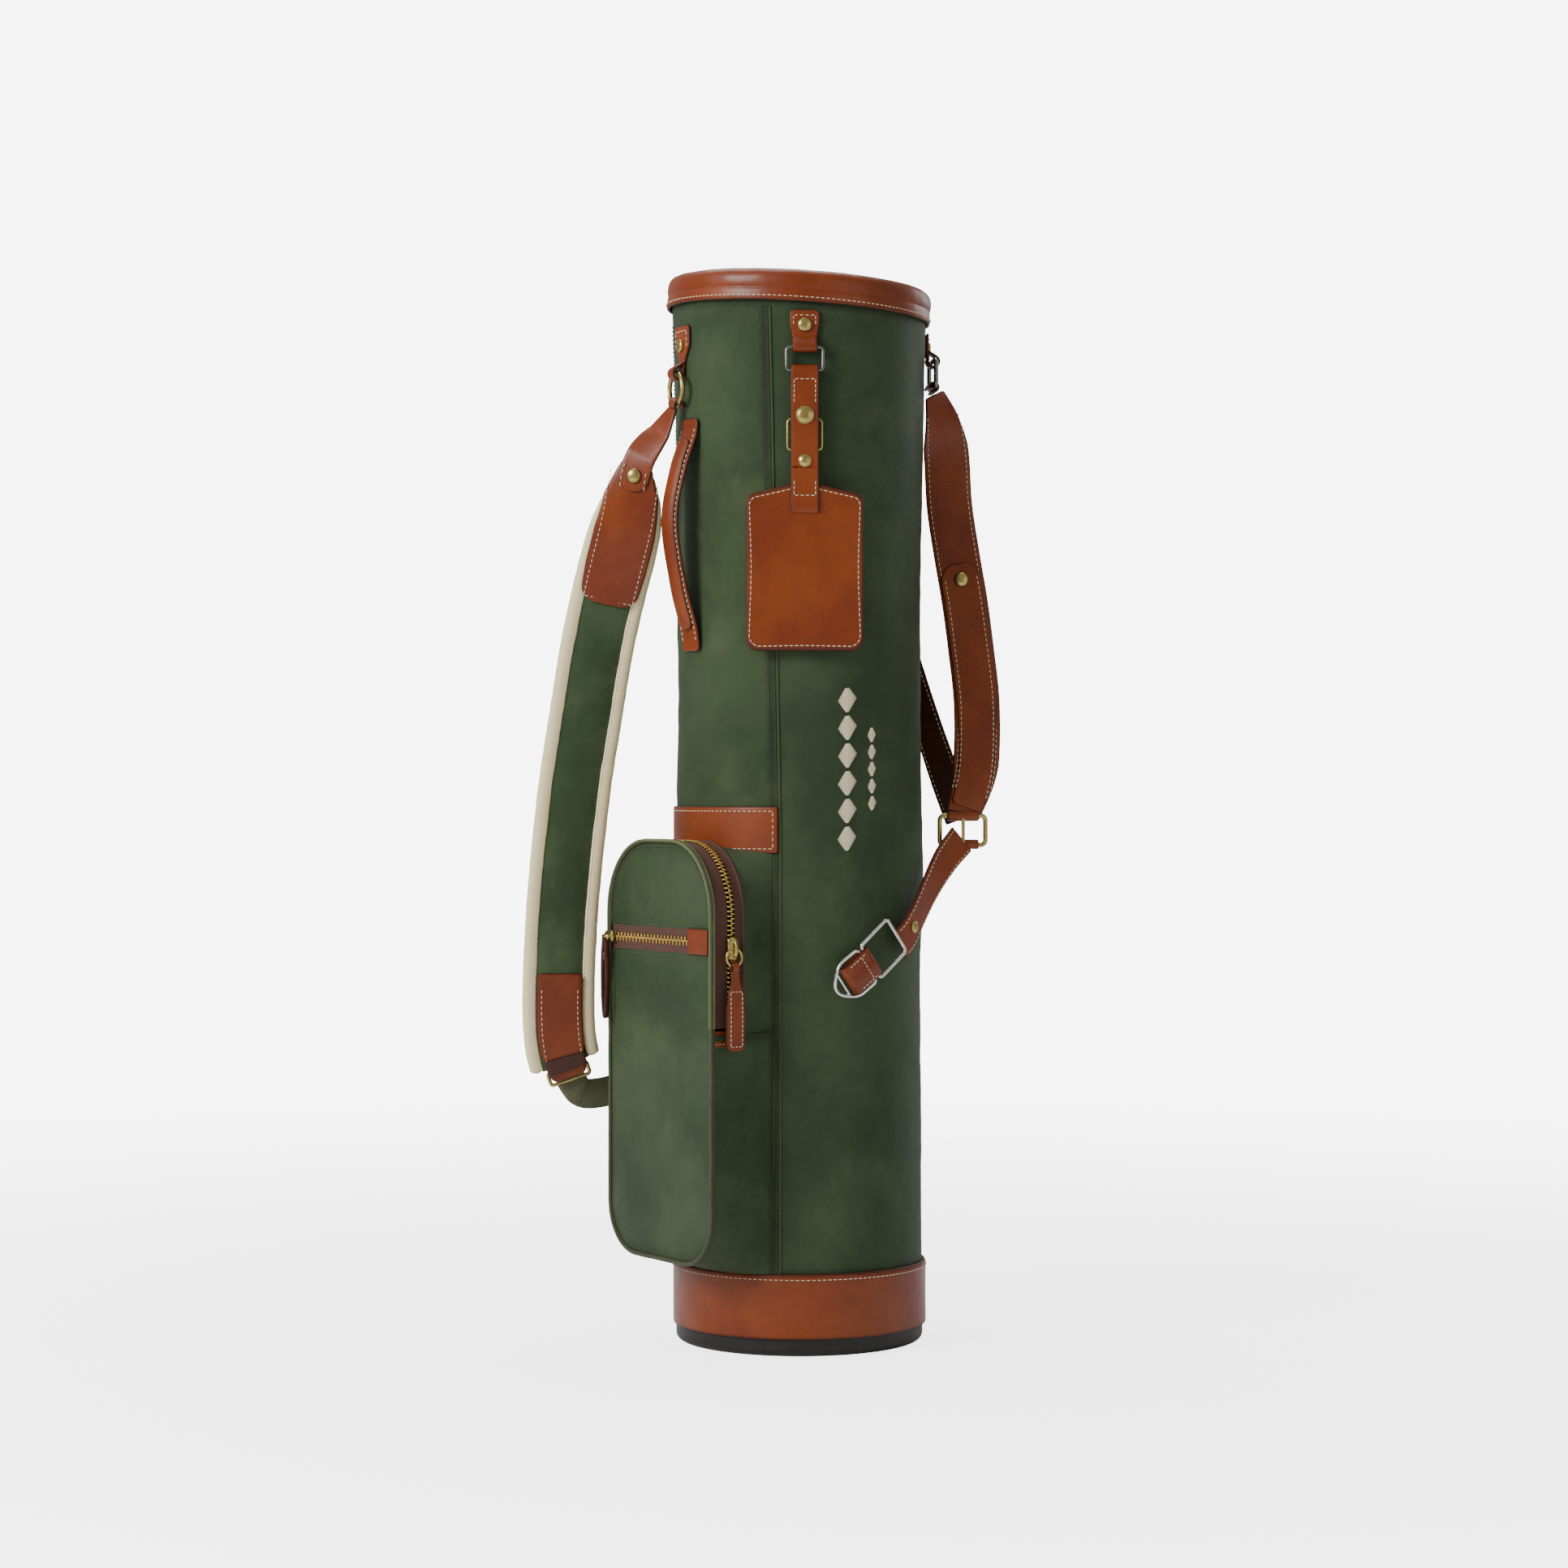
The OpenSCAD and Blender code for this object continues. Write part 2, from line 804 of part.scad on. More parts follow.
module strap_end_loop() {
    low_z = strap_ring_z - strap_ring_r;
    color("#8a4022") {
        on_skin(strap_tab_angle, strap_loop_z, strap_out)
            translate([0, 0, low_z - strap_loop_z + 0.7])
                rotate([0, 90, 0])
                    difference() {
                        cylinder(h = 11, r = strap_bore_r + leather_t, center = true);
                        cylinder(h = 13, r = strap_bore_r, center = true);
                    }
        ribbon(shoulder_route, 0.16, 1.62, [16, 24, 30], 5, steps = 10);
        ribbon(shoulder_route, 0.9, 2.5, [20, 26, 30, 30, 28], leather_t,
            [0, 5, ply_lift, ply_lift, ply_lift], steps = 12);
    }
}

module strap_rivet() {
    color("#b9a566")
        on_route(shoulder_route, 2.1, ply_lift + leather_t / 2 + gap)
            rivet(5.5, 2.4);
}

module shoulder_pad() {
    color("#9a4b26")
        ribbon(shoulder_route, 1.75, 4.15, [24, 44, 50, 50, 46], leather_t,
            [face_lift, face_lift], steps = 16);
}

module strap_band() {
    w = strap_w - 2 * binding_w - 2 * gap;
    color("#44523b")
        ribbon(shoulder_route, 1.8, 12.4, [20, w, w, w, w, w, w, w], strap_core_t, steps = 40);
}

module strap_binding() {
    color("#d9cfae")
        for (side = [-1, 1])
            ribbon(shoulder_route, 2.9, 12.4, [binding_w, binding_w], strap_core_t + 2,
                shift = side * (strap_w - binding_w) / 2, steps = 34);
}

module strap_lower_patch() {
    color("#8f4724")
        ribbon(shoulder_route, 10, 12.7, [38, 38, 38, 30], leather_t,
            [face_lift, face_lift], steps = 10);
}

module strap_slide_bar() {
    color("#6f6238")
        ribbon(shoulder_route, 12.5, 12.9, [34, 34], 3, [-1.2, -1.2], steps = 2);
}

module strap_webbing() {
    color("#6e7050")
        ribbon(webbing_route, 0.1, len(webbing_route) - 1.02, [25, 25], 2);
}

// ---- Name tag ----

tag_low_z = tag_bar_z - tag_ring_h + 2 * tag_wire;
tag_ply_z = tag_bar_z - 128;
tag_front = leather_t + tag_wire + free;
plate_top = tag_ply_z + 20;

module on_tag(z) {
    on_skin(tag_angle, tag_bar_z, tag_out)
        translate([0, 0, z - tag_bar_z])
            children();
}

module tag_ring() {
    color("#77756c")
        on_tag((tag_bar_z + tag_low_z) / 2)
            wire_frame(tag_ring_w, tag_ring_h, tag_wire, 3);
}

// One long loop of leather: round the ring at the top and through the plate's slot below
module long_loop(w, r, h) {
    rotate([0, 90, 0]) {
        cylinder(h = w, r = r, center = true);
        translate([h, 0, 0])
            cylinder(h = w, r = r, center = true);
        translate([h / 2, 0, 0])
            cube([h, 2 * r, w], center = true);
    }
}

module tag_strap() {
    drop = tag_low_z - tag_ply_z;
    color("#9a4b26")
        on_tag(tag_low_z)
            difference() {
                long_loop(tag_w, tag_front, drop);
                long_loop(tag_w + 2, tag_wire + free, drop);
            }
}

module tag_snaps() {
    color("#b9a566") {
        on_tag(rim_z - 107)
            translate([0, -tag_front - 0.05, 0])
                rivet(7, 2.6);
        on_tag(rim_z - 143)
            translate([0, -tag_front - 0.05, 0])
                rivet(5, 2.2);
    }
}

module tag_plate() {
    t = 2 * (tag_wire + free) - 2 * gap;
    low = plate_top - plate_h;
    corner = 9;
    w = plate_w / 2;
    color("#9a4b26")
        on_tag(0)
            rotate([90, 0, 0])
                translate([0, 0, -t / 2])
                    linear_extrude(height = t)
                        difference() {
                            polygon(concat(
                                arc(corner - w, low + corner, corner, 180, 270, 6),
                                arc(w - corner, low + corner, corner, 270, 360, 6),
                                arc(w - 7, plate_top - 14, 7, 0, 75, 5),
                                [[tag_w / 2, plate_top], [-tag_w / 2, plate_top]],
                                arc(7 - w, plate_top - 14, 7, 105, 180, 5)
                            ));
                            translate([-tag_w / 2 - 2, tag_ply_z - tag_front - 2])
                                square([tag_w + 4, tag_front + 2]);
                        }
}

// ---- Right-hand straps ----

module side_ring() {
    color("#77756c")
        on_skin(rear_angle, rear_bar_z, rear_out)
            translate([0, 0, -(rear_ring_h / 2 - ring_wire)])
                wire_frame(rear_ring_w, rear_ring_h, ring_wire, 5);
}

module side_strap() {
    low = rear_ring_h - 2 * ring_wire;
    color("#7d3b1f") {
        on_skin(rear_angle, rear_bar_z, rear_out)
            translate([0, 0, -low])
                rotate([0, 90, 0])
                    difference() {
                        cylinder(h = 26, r = ring_wire + gap + leather_t, center = true);
                        cylinder(h = 28, r = ring_wire + gap, center = true);
                    }
        ribbon(side_route, 0.08, 8.76, [28, side_w, side_w, side_w, side_w, side_w, side_w, 26],
            3.6, steps = 40);
        for (side = [-1, 1])
            on_buckle()
                translate([side * 9, 0, buckle_h / 2 - ring_wire])
                    difference() {
                        union() {
                            rod(8, ring_wire + gap + leather_t);
                            translate([-4, -1.8, 0])
                                cube([8, 3.6, 12]);
                        }
                        rod(10, ring_wire + gap);
                    }
    }
}

module back_strap() {
    color("#3f2114")
        ribbon(back_route, 0.2, len(back_route) - 1.04, [26, 26], leather_t);
}

module side_rivet() {
    color("#b9a566")
        on_route(side_route, 4.55, 2.2)
            rivet(6, 2.4);
}

// The buckle hangs at the end of the side strap: a frame with its bar across the strap
buckle_angle = 147;
buckle_z = rim_z - 436;
buckle_out = 34;
buckle_face = 64;
buckle_w = 42;
buckle_h = 28;

module on_buckle() {
    translate(at_angle(buckle_angle, body_r + buckle_out, buckle_z))
        rotate([0, 0, buckle_face])
            children();
}

module side_buckle() {
    color("#b39a55")
        on_buckle()
            wire_frame(buckle_w, buckle_h, ring_wire, 4);
}

module buckle_prong() {
    reach = buckle_h - 2 * ring_wire;
    color("#c2ab68")
        on_buckle()
            translate([0, 0, reach / 2])
                difference() {
                    union() {
                        rotate([0, 90, 0])
                            cylinder(h = 4, r = ring_wire + free + 1.4, center = true);
                        translate([-1.4, -ring_wire - free - 1.4, -reach - 1])
                            cube([2.8, 1.4, reach + 1]);
                    }
                    rod(6, ring_wire + 0.05);
                }
}

// The tail's rings lie on the skin in one chain: each frame is hinged on the bar before it
tail_slope = 38;
tail_out = 8;
tail_wire = 1.5;
tail_w = 26;
tail_ring_l = 37;
tail_ring_w = 36;
tail_bend = -6;

module on_tail_ring() {
    on_skin(95, rim_z - 529, tail_out, -tail_slope)
        children();
}

module on_link() {
    on_tail_ring()
        translate([tail_wire - tail_ring_l / 2, 0, 0])
            rotate([0, 0, tail_bend])
                children();
}

end_bar_x = -2 * (tail_wire + free);

module on_end_ring() {
    on_link()
        translate([end_bar_x, 0, 0])
            rotate([0, 0, tail_bend])
                children();
}

module tail_strap() {
    bore = tail_wire + free;
    color("#7d3b1f") {
        ribbon(tail_route, 0.35, 4.68, [tail_w, tail_w], 3.4);
        on_tail_ring()
            translate([tail_ring_l / 2 - tail_wire, 0, 0])
                difference() {
                    cylinder(h = tail_w, r = bore + leather_t, center = true);
                    cylinder(h = tail_w + 2, r = bore, center = true);
                }
    }
}

module tail_rivet() {
    color("#b9a566")
        on_route(tail_route, 3.6, 2)
            rivet(4.5, 2);
}

module tail_ring() {
    color("#a5a29a")
        on_tail_ring()
            wire_frame(tail_ring_l, tail_ring_w, tail_wire, 3);
}

module tail_link() {
    bore = tail_wire + free;
    low = -22;
    color("#8f4724")
        on_link()
            difference() {
                union() {
                    cylinder(h = tail_w, r = bore + leather_t, center = true);
                    translate([low / 2, 0, 0])
                        cube([-low, 2 * (bore + leather_t), tail_w], center = true);
                    translate([low, 0, 0])
                        cylinder(h = tail_w, r = bore + leather_t, center = true);
                }
                cylinder(h = tail_w + 2, r = bore, center = true);
                translate([low / 2, 0, 0])
                    cube([-low, 2 * bore, tail_w + 2], center = true);
                translate([low, 0, 0])
                    cylinder(h = tail_w + 2, r = bore, center = true);
            }
}

// The end ring is wire with a flat plate across its shaped end
module end_ring() {
    length = 29;
    half = tail_ring_w / 2 - 2 * tail_wire;
    plate_x = tail_wire - length;
    color("#a5a29a")
        on_end_ring() {
            translate([tail_wire - length / 2, 0, 0])
                wire_frame(length, tail_ring_w, tail_wire, 3);
            rotate([90, 0, 0])
                translate([0, 0, -1])
                    linear_extrude(height = 2)
                        polygon([
                            [plate_x, -half], [plate_x, half], [plate_x - 5, half - 6],
                            [plate_x - 7, 0], [plate_x - 5, 6 - half]
                        ]);
        }
}

base_foot();
foot_screws();
base_cup();
club_pad();
base_cuff();
stiffening_tube();
lining();
main_canvas();
front_canvas();
seam_welts();
top_frame();
top_collar();
divider_bar();
divider_cloth();
pocket_band();
pocket_gusset();
pocket_lower_panel();
pocket_lower_piping();
main_zip_outer_chain();
carry_handle();
strap_tab();
tag_tab();
rear_tab();
strap_anchors();
body_rivets();
flap_panel();
flap_piping();
main_zip_inner_chain();
front_zip_chain();
front_zip_patch();
main_zip_slider();
main_zip_ring();
main_zip_pull();
front_zip_slider();
front_zip_pull();
strap_ring();
strap_end_loop();
strap_rivet();
shoulder_pad();
strap_band();
strap_binding();
strap_lower_patch();
strap_slide_bar();
strap_webbing();
tag_ring();
tag_strap();
tag_snaps();
tag_plate();
side_ring();
side_strap();
back_strap();
side_rivet();
side_buckle();
buckle_prong();
tail_strap();
tail_rivet();
tail_ring();
tail_link();
end_ring();
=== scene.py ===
"""Looks of a slim round golf carry bag in waxed canvas and leather, built round its fixed frame.

Everything is in metres: +Z is up, the pocket faces -Y, and angles round the bag start at the pocket's
middle and grow towards +X.
"""
import json
import logging
import math
from dataclasses import dataclass, field
from enum import Enum
from typing import Sequence

import bmesh
import bpy
import numpy as np
from mathutils import Matrix, Vector, noise


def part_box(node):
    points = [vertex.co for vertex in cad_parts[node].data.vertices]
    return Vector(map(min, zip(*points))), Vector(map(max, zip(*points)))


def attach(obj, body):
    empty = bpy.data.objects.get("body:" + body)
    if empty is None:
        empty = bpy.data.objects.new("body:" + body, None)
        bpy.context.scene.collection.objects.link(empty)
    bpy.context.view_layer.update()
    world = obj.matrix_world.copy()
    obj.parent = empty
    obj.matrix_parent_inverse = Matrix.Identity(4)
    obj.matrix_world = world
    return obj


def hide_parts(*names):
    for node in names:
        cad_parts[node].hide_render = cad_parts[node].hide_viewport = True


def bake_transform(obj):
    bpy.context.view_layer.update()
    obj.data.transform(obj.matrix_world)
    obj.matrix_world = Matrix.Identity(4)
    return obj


LOG = logging.getLogger("golf_bag")
MM = 0.001
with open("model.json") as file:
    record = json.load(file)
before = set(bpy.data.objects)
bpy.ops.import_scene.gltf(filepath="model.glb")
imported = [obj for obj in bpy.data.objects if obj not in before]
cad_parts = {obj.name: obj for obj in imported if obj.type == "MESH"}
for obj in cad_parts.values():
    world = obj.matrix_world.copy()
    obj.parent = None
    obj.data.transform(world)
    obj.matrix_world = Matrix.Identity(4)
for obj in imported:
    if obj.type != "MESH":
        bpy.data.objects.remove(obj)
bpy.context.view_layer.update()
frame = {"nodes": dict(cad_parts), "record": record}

Colour = tuple[float, float, float]
Array = np.ndarray


# ---- Shader maths ----


class Value:
    """A shader socket that can be used in an expression; every operation adds a Math node."""

    def __init__(self, bench: "Bench", socket: bpy.types.NodeSocket) -> None:
        """Wraps a socket of the bench's material."""
        self.bench = bench
        self.socket = socket

    def _math(self, operation: str, *values: "Value | float") -> "Value":
        """Adds a Math node on these values."""
        return self.bench.node("ShaderNodeMath", {"operation": operation}, dict(enumerate(values)))

    def __add__(self, other: "Value | float") -> "Value":
        """Sum."""
        return self._math("ADD", self, other)

    def __sub__(self, other: "Value | float") -> "Value":
        """Difference."""
        return self._math("SUBTRACT", self, other)

    def __rsub__(self, other: float) -> "Value":
        """Difference from a number."""
        return self._math("SUBTRACT", other, self)

    def __mul__(self, other: "Value | float") -> "Value":
        """Product."""
        return self._math("MULTIPLY", self, other)

    __radd__ = __add__
    __rmul__ = __mul__

    def sin(self) -> "Value":
        """Sine."""
        return self._math("SINE", self)

    def ramp(self, low: float, high: float) -> "Value":
        """A smooth step from 0 at low to 1 at high.

        Args:
            low: value that gives 0.
            high: value that gives 1.

        Returns:
            The step, held between 0 and 1.
        """
        return self.bench.node(
            "ShaderNodeMapRange",
            {"interpolation_type": "SMOOTHSTEP"},
            {"Value": self, "From Min": low, "From Max": high, "To Min": 0.0, "To Max": 1.0},
        )


class Bench:
    """Builds one node material."""

    def __init__(self, name: str) -> None:
        """Starts a material with a principled shader."""
        self.material = bpy.data.materials.new("look_" + name)
        self.material.use_nodes = True
        self.tree = self.material.node_tree
        self.shader = self.tree.nodes["Principled BSDF"]

    def node(self, kind: str, settings: dict, inputs: dict, output: int | str = 0) -> Value:
        """Adds a node.

        Args:
            kind: the node's type.
            settings: what is set on the node before its sockets.
            inputs: values or links, by socket name or number.
            output: the output socket to return.

        Returns:
            The chosen output.
        """
        made = self.tree.nodes.new(kind)
        for key, value in settings.items():
            setattr(made, key, value)
        for key, value in inputs.items():
            if isinstance(value, Value):
                self.tree.links.new(value.socket, made.inputs[key])
            else:
                made.inputs[key].default_value = value
        return Value(self, made.outputs[output])

    def place(self) -> Value:
        """Position in the bag's own frame."""
        return self.node("ShaderNodeTexCoord", {}, {}, "Object")

    def layout(self, metres: float = 1.0) -> tuple[Value, Value]:
        """The two layout coordinates, in periods of a length."""
        uv = self.node("ShaderNodeTexCoord", {}, {}, "UV")
        scaled = self.node("ShaderNodeVectorMath", {"operation": "SCALE"}, {0: uv, "Scale": 1 / metres})
        across, along = (self.node("ShaderNodeSeparateXYZ", {}, {0: scaled}, axis) for axis in ("X", "Y"))
        return across, along

    def stretched(self, scale: Colour) -> Value:
        """Position scaled along each axis."""
        return self.node("ShaderNodeMapping", {}, {"Vector": self.place(), "Scale": scale})

    def noise(self, scale: float, detail: float = 3.0, rough: float = 0.55,
              at: "Value | None" = None) -> Value:
        """Fractal noise over the surface."""
        inputs = {"Vector": at or self.place(), "Scale": scale, "Detail": detail, "Roughness": rough}
        return self.node("ShaderNodeTexNoise", {}, inputs)

    def cells(self, scale: float) -> Value:
        """Distance to the nearest cell point."""
        return self.node("ShaderNodeTexVoronoi", {"feature": "F1"}, {"Vector": self.place(), "Scale": scale})

    def mark(self, name: str) -> Value:
        """A value that the mesh carries on its points."""
        return self.node("ShaderNodeAttribute", {"attribute_name": name}, {}, "Fac")

    def mix(self, factor: "Value | float", first: "Value | Colour", second: "Value | Colour") -> Value:
        """Mixes two colours.

        Args:
            factor: share of the second colour.
            first: colour at 0.
            second: colour at 1.

        Returns:
            The mixed colour.
        """
        tones = [tone if isinstance(tone, Value) else (*tone, 1.0) for tone in (first, second)]
        return self.node("ShaderNodeMix", {"data_type": "RGBA"}, {0: factor, 6: tones[0], 7: tones[1]}, 2)

    def relief(self, height: Value, depth: float, strength: float = 1.0) -> Value:
        """Bump from a height."""
        return self.node("ShaderNodeBump", {}, {"Height": height, "Distance": depth, "Strength": strength},
                         "Normal")

    def finish(self, links: dict[str, Value], settings: dict[str, float]) -> bpy.types.Material:
        """Connects the shader and returns the material.

        Args:
            links: what varies over the surface, by shader socket.
            settings: constants, by shader socket.

        Returns:
            The finished material.
        """
        for key, value in settings.items():
            self.shader.inputs[key].default_value = value
        for key, value in links.items():
            self.tree.links.new(value.socket, self.shader.inputs[key])
        return self.material


# ---- Finishes ----


@dataclass(frozen=True)
class WaxedCanvas:
    """Waxed cotton canvas: fine plain weave, cloudy wax and chalky creases."""

    name: str = "waxed_canvas"
    deep: Colour = (0.023, 0.044, 0.015)
    middle: Colour = (0.043, 0.070, 0.028)
    chalk: Colour = (0.100, 0.120, 0.052)
    thread: float = 0.0009

    def make(self) -> bpy.types.Material:
        """Builds the material."""
        bench = Bench(self.name)
        clouds = bench.noise(9.0, 4.0, 0.6)
        blotch = bench.noise(17.0, 5.0, 0.62)
        scuffs = bench.noise(70.0, 6.0, 0.7, bench.stretched((1.0, 1.0, 0.35)))
        across, along = bench.layout(self.thread)
        warp = (across * (2 * math.pi)).sin()
        weft = (along * (2 * math.pi)).sin()
        weave = warp * weft
        tone = bench.mix(clouds.ramp(0.36, 0.62), self.deep, self.middle)
        tone = bench.mix(blotch.ramp(0.50, 0.74) * 0.30, tone, self.chalk)
        tone = bench.mix(scuffs.ramp(0.56, 0.78) * 0.30, tone, self.chalk)
        worn = bench.mark("wear").ramp(0.2, 1.0)
        tone = bench.mix(worn * (0.35 + scuffs * 0.6), tone, self.chalk)
        tone = bench.mix((weave * 0.5 + 0.5) * 0.22, tone, self.deep)
        # Painted shade: the shade mark darkens the canvas towards near black wherever a piece marks shade.
        tone = bench.mix(bench.mark("shade"), tone, (0.008, 0.012, 0.008))
        height = weave * 0.25 + scuffs * 0.45 + blotch * 0.5
        return bench.finish(
            {
                "Base Color": tone,
                "Roughness": 0.40 + clouds * 0.16 + scuffs * 0.16,
                "Normal": bench.relief(height, 0.0012, 0.6),
            },
            {"Specular IOR Level": 0.24},
        )


@dataclass(frozen=True)
class Leather:
    """Smooth vegetable-tanned leather with burnished edges."""

    name: str
    body: Colour
    light: Colour
    edge: Colour
    gloss: float = 0.40
    coat: float = 0.16

    def make(self) -> bpy.types.Material:
        """Builds the material."""
        bench = Bench(self.name)
        clouds = bench.noise(16.0, 4.0, 0.6)
        mottle = bench.noise(75.0, 5.0, 0.65)
        grain = bench.cells(950.0)
        pores = bench.noise(1500.0, 2.0, 0.5)
        creases = bench.noise(120.0, 5.0, 0.7, bench.stretched((1.0, 1.0, 0.4)))
        tone = bench.mix(clouds.ramp(0.36, 0.66), self.body, self.light)
        tone = bench.mix(mottle.ramp(0.50, 0.76) * 0.16, tone, self.edge)
        tone = bench.mix(creases.ramp(0.66, 0.84) * 0.25, tone, self.light)
        rim = bench.mark("edge").ramp(0.30, 1.0)
        tone = bench.mix(rim * 0.85, tone, self.edge)
        height = grain * 0.35 + pores * 0.15 + creases * 0.6
        return bench.finish(
            {
                "Base Color": tone,
                "Roughness": self.gloss - 0.08 + mottle * 0.18 + rim * 0.12,
                "Coat Weight": self.coat * (1.0 - rim * 0.7),
                "Normal": bench.relief(height, 0.0005, 0.5),
            },
            {"Coat Roughness": 0.24, "Specular IOR Level": 0.28},
        )


@dataclass(frozen=True)
class Metal:
    """Cast or drawn metal with light tarnish."""

    name: str
    bright: Colour
    dull: Colour
    rough: float

    def make(self) -> bpy.types.Material:
        """Builds the material."""
        bench = Bench(self.name)
        tarnish = bench.noise(140.0, 5.0, 0.65)
        fine = bench.noise(900.0, 3.0, 0.6)
        spots = tarnish.ramp(0.42, 0.72)
        tone = bench.mix(spots * 0.8, self.bright, self.dull)
        return bench.finish(
            {
                "Base Color": tone,
                "Roughness": self.rough + spots * 0.16 + fine * 0.06,
                "Normal": bench.relief(tarnish + fine * 0.4, 0.00012, 0.4),
            },
            {"Metallic": 1.0},
        )


@dataclass(frozen=True)
class Woven:
    """Tape, webbing or cloth with a visible rib."""

    name: str
    body: Colour
    dark: Colour
    rib: float
    rough: float = 0.8
    sheen: float = 0.25

    def make(self) -> bpy.types.Material:
        """Builds the material."""
        bench = Bench(self.name)
        across, along = bench.layout(self.rib)
        ribs = (along * (2 * math.pi) + (across * (2 * math.pi)).sin() * 0.9).sin() * 0.5 + 0.5
        soil = bench.noise(60.0, 5.0, 0.65)
        fuzz = bench.noise(1300.0, 2.0, 0.6)
        tone = bench.mix(ribs * 0.35, self.body, self.dark)
        tone = bench.mix(soil.ramp(0.50, 0.78) * 0.45, tone, self.dark)
        # Painted shade: the shade mark darkens the cloth towards its dark colour.
        tone = bench.mix(bench.mark("shade"), tone, self.dark)
        return bench.finish(
            {
                "Base Color": tone,
                "Roughness": self.rough - 0.06 + soil * 0.14,
                "Normal": bench.relief(ribs + fuzz * 0.4, 0.00025, 0.7),
            },
            {"Sheen Weight": self.sheen, "Sheen Roughness": 0.5},
        )


@dataclass(frozen=True)
class Moulded:
    """Moulded rubber or plastic with a fine mould texture."""

    name: str
    body: Colour
    scuff: Colour
    rough: float = 0.5

    def make(self) -> bpy.types.Material:
        """Builds the material."""
        bench = Bench(self.name)
        dust = bench.noise(45.0, 5.0, 0.65)
        spark = bench.noise(1100.0, 3.0, 0.6)
        low = bench.noise(210.0, 4.0, 0.7)
        tone = bench.mix(dust.ramp(0.50, 0.75) * 0.5, self.body, self.scuff)
        tone = bench.mix(low.ramp(0.62, 0.75) * 0.4, tone, self.scuff)
        return bench.finish(
            {
                "Base Color": tone,
                "Roughness": self.rough + dust * 0.18 - 0.06,
                "Normal": bench.relief(spark + low * 0.6, 0.00018, 0.6),
            },
            {"Specular IOR Level": 0.4},
        )


@dataclass(frozen=True)
class Thread:
    """Waxed sewing or embroidery thread with a twist."""

    name: str
    body: Colour
    dark: Colour

    def make(self) -> bpy.types.Material:
        """Builds the material."""
        bench = Bench(self.name)
        across, along = bench.layout(0.0006)
        twist = ((along + across) * (2 * math.pi)).sin() * 0.5 + 0.5
        soil = bench.noise(400.0, 3.0, 0.6)
        tone = bench.mix(twist * 0.3 + soil.ramp(0.5, 0.8) * 0.35, self.body, self.dark)
        return bench.finish(
            {"Base Color": tone, "Roughness": 0.55 + soil * 0.2, "Normal": bench.relief(twist, 0.0002, 0.7)},
            {"Sheen Weight": 0.2},
        )


MADE: dict[str, bpy.types.Material] = {}


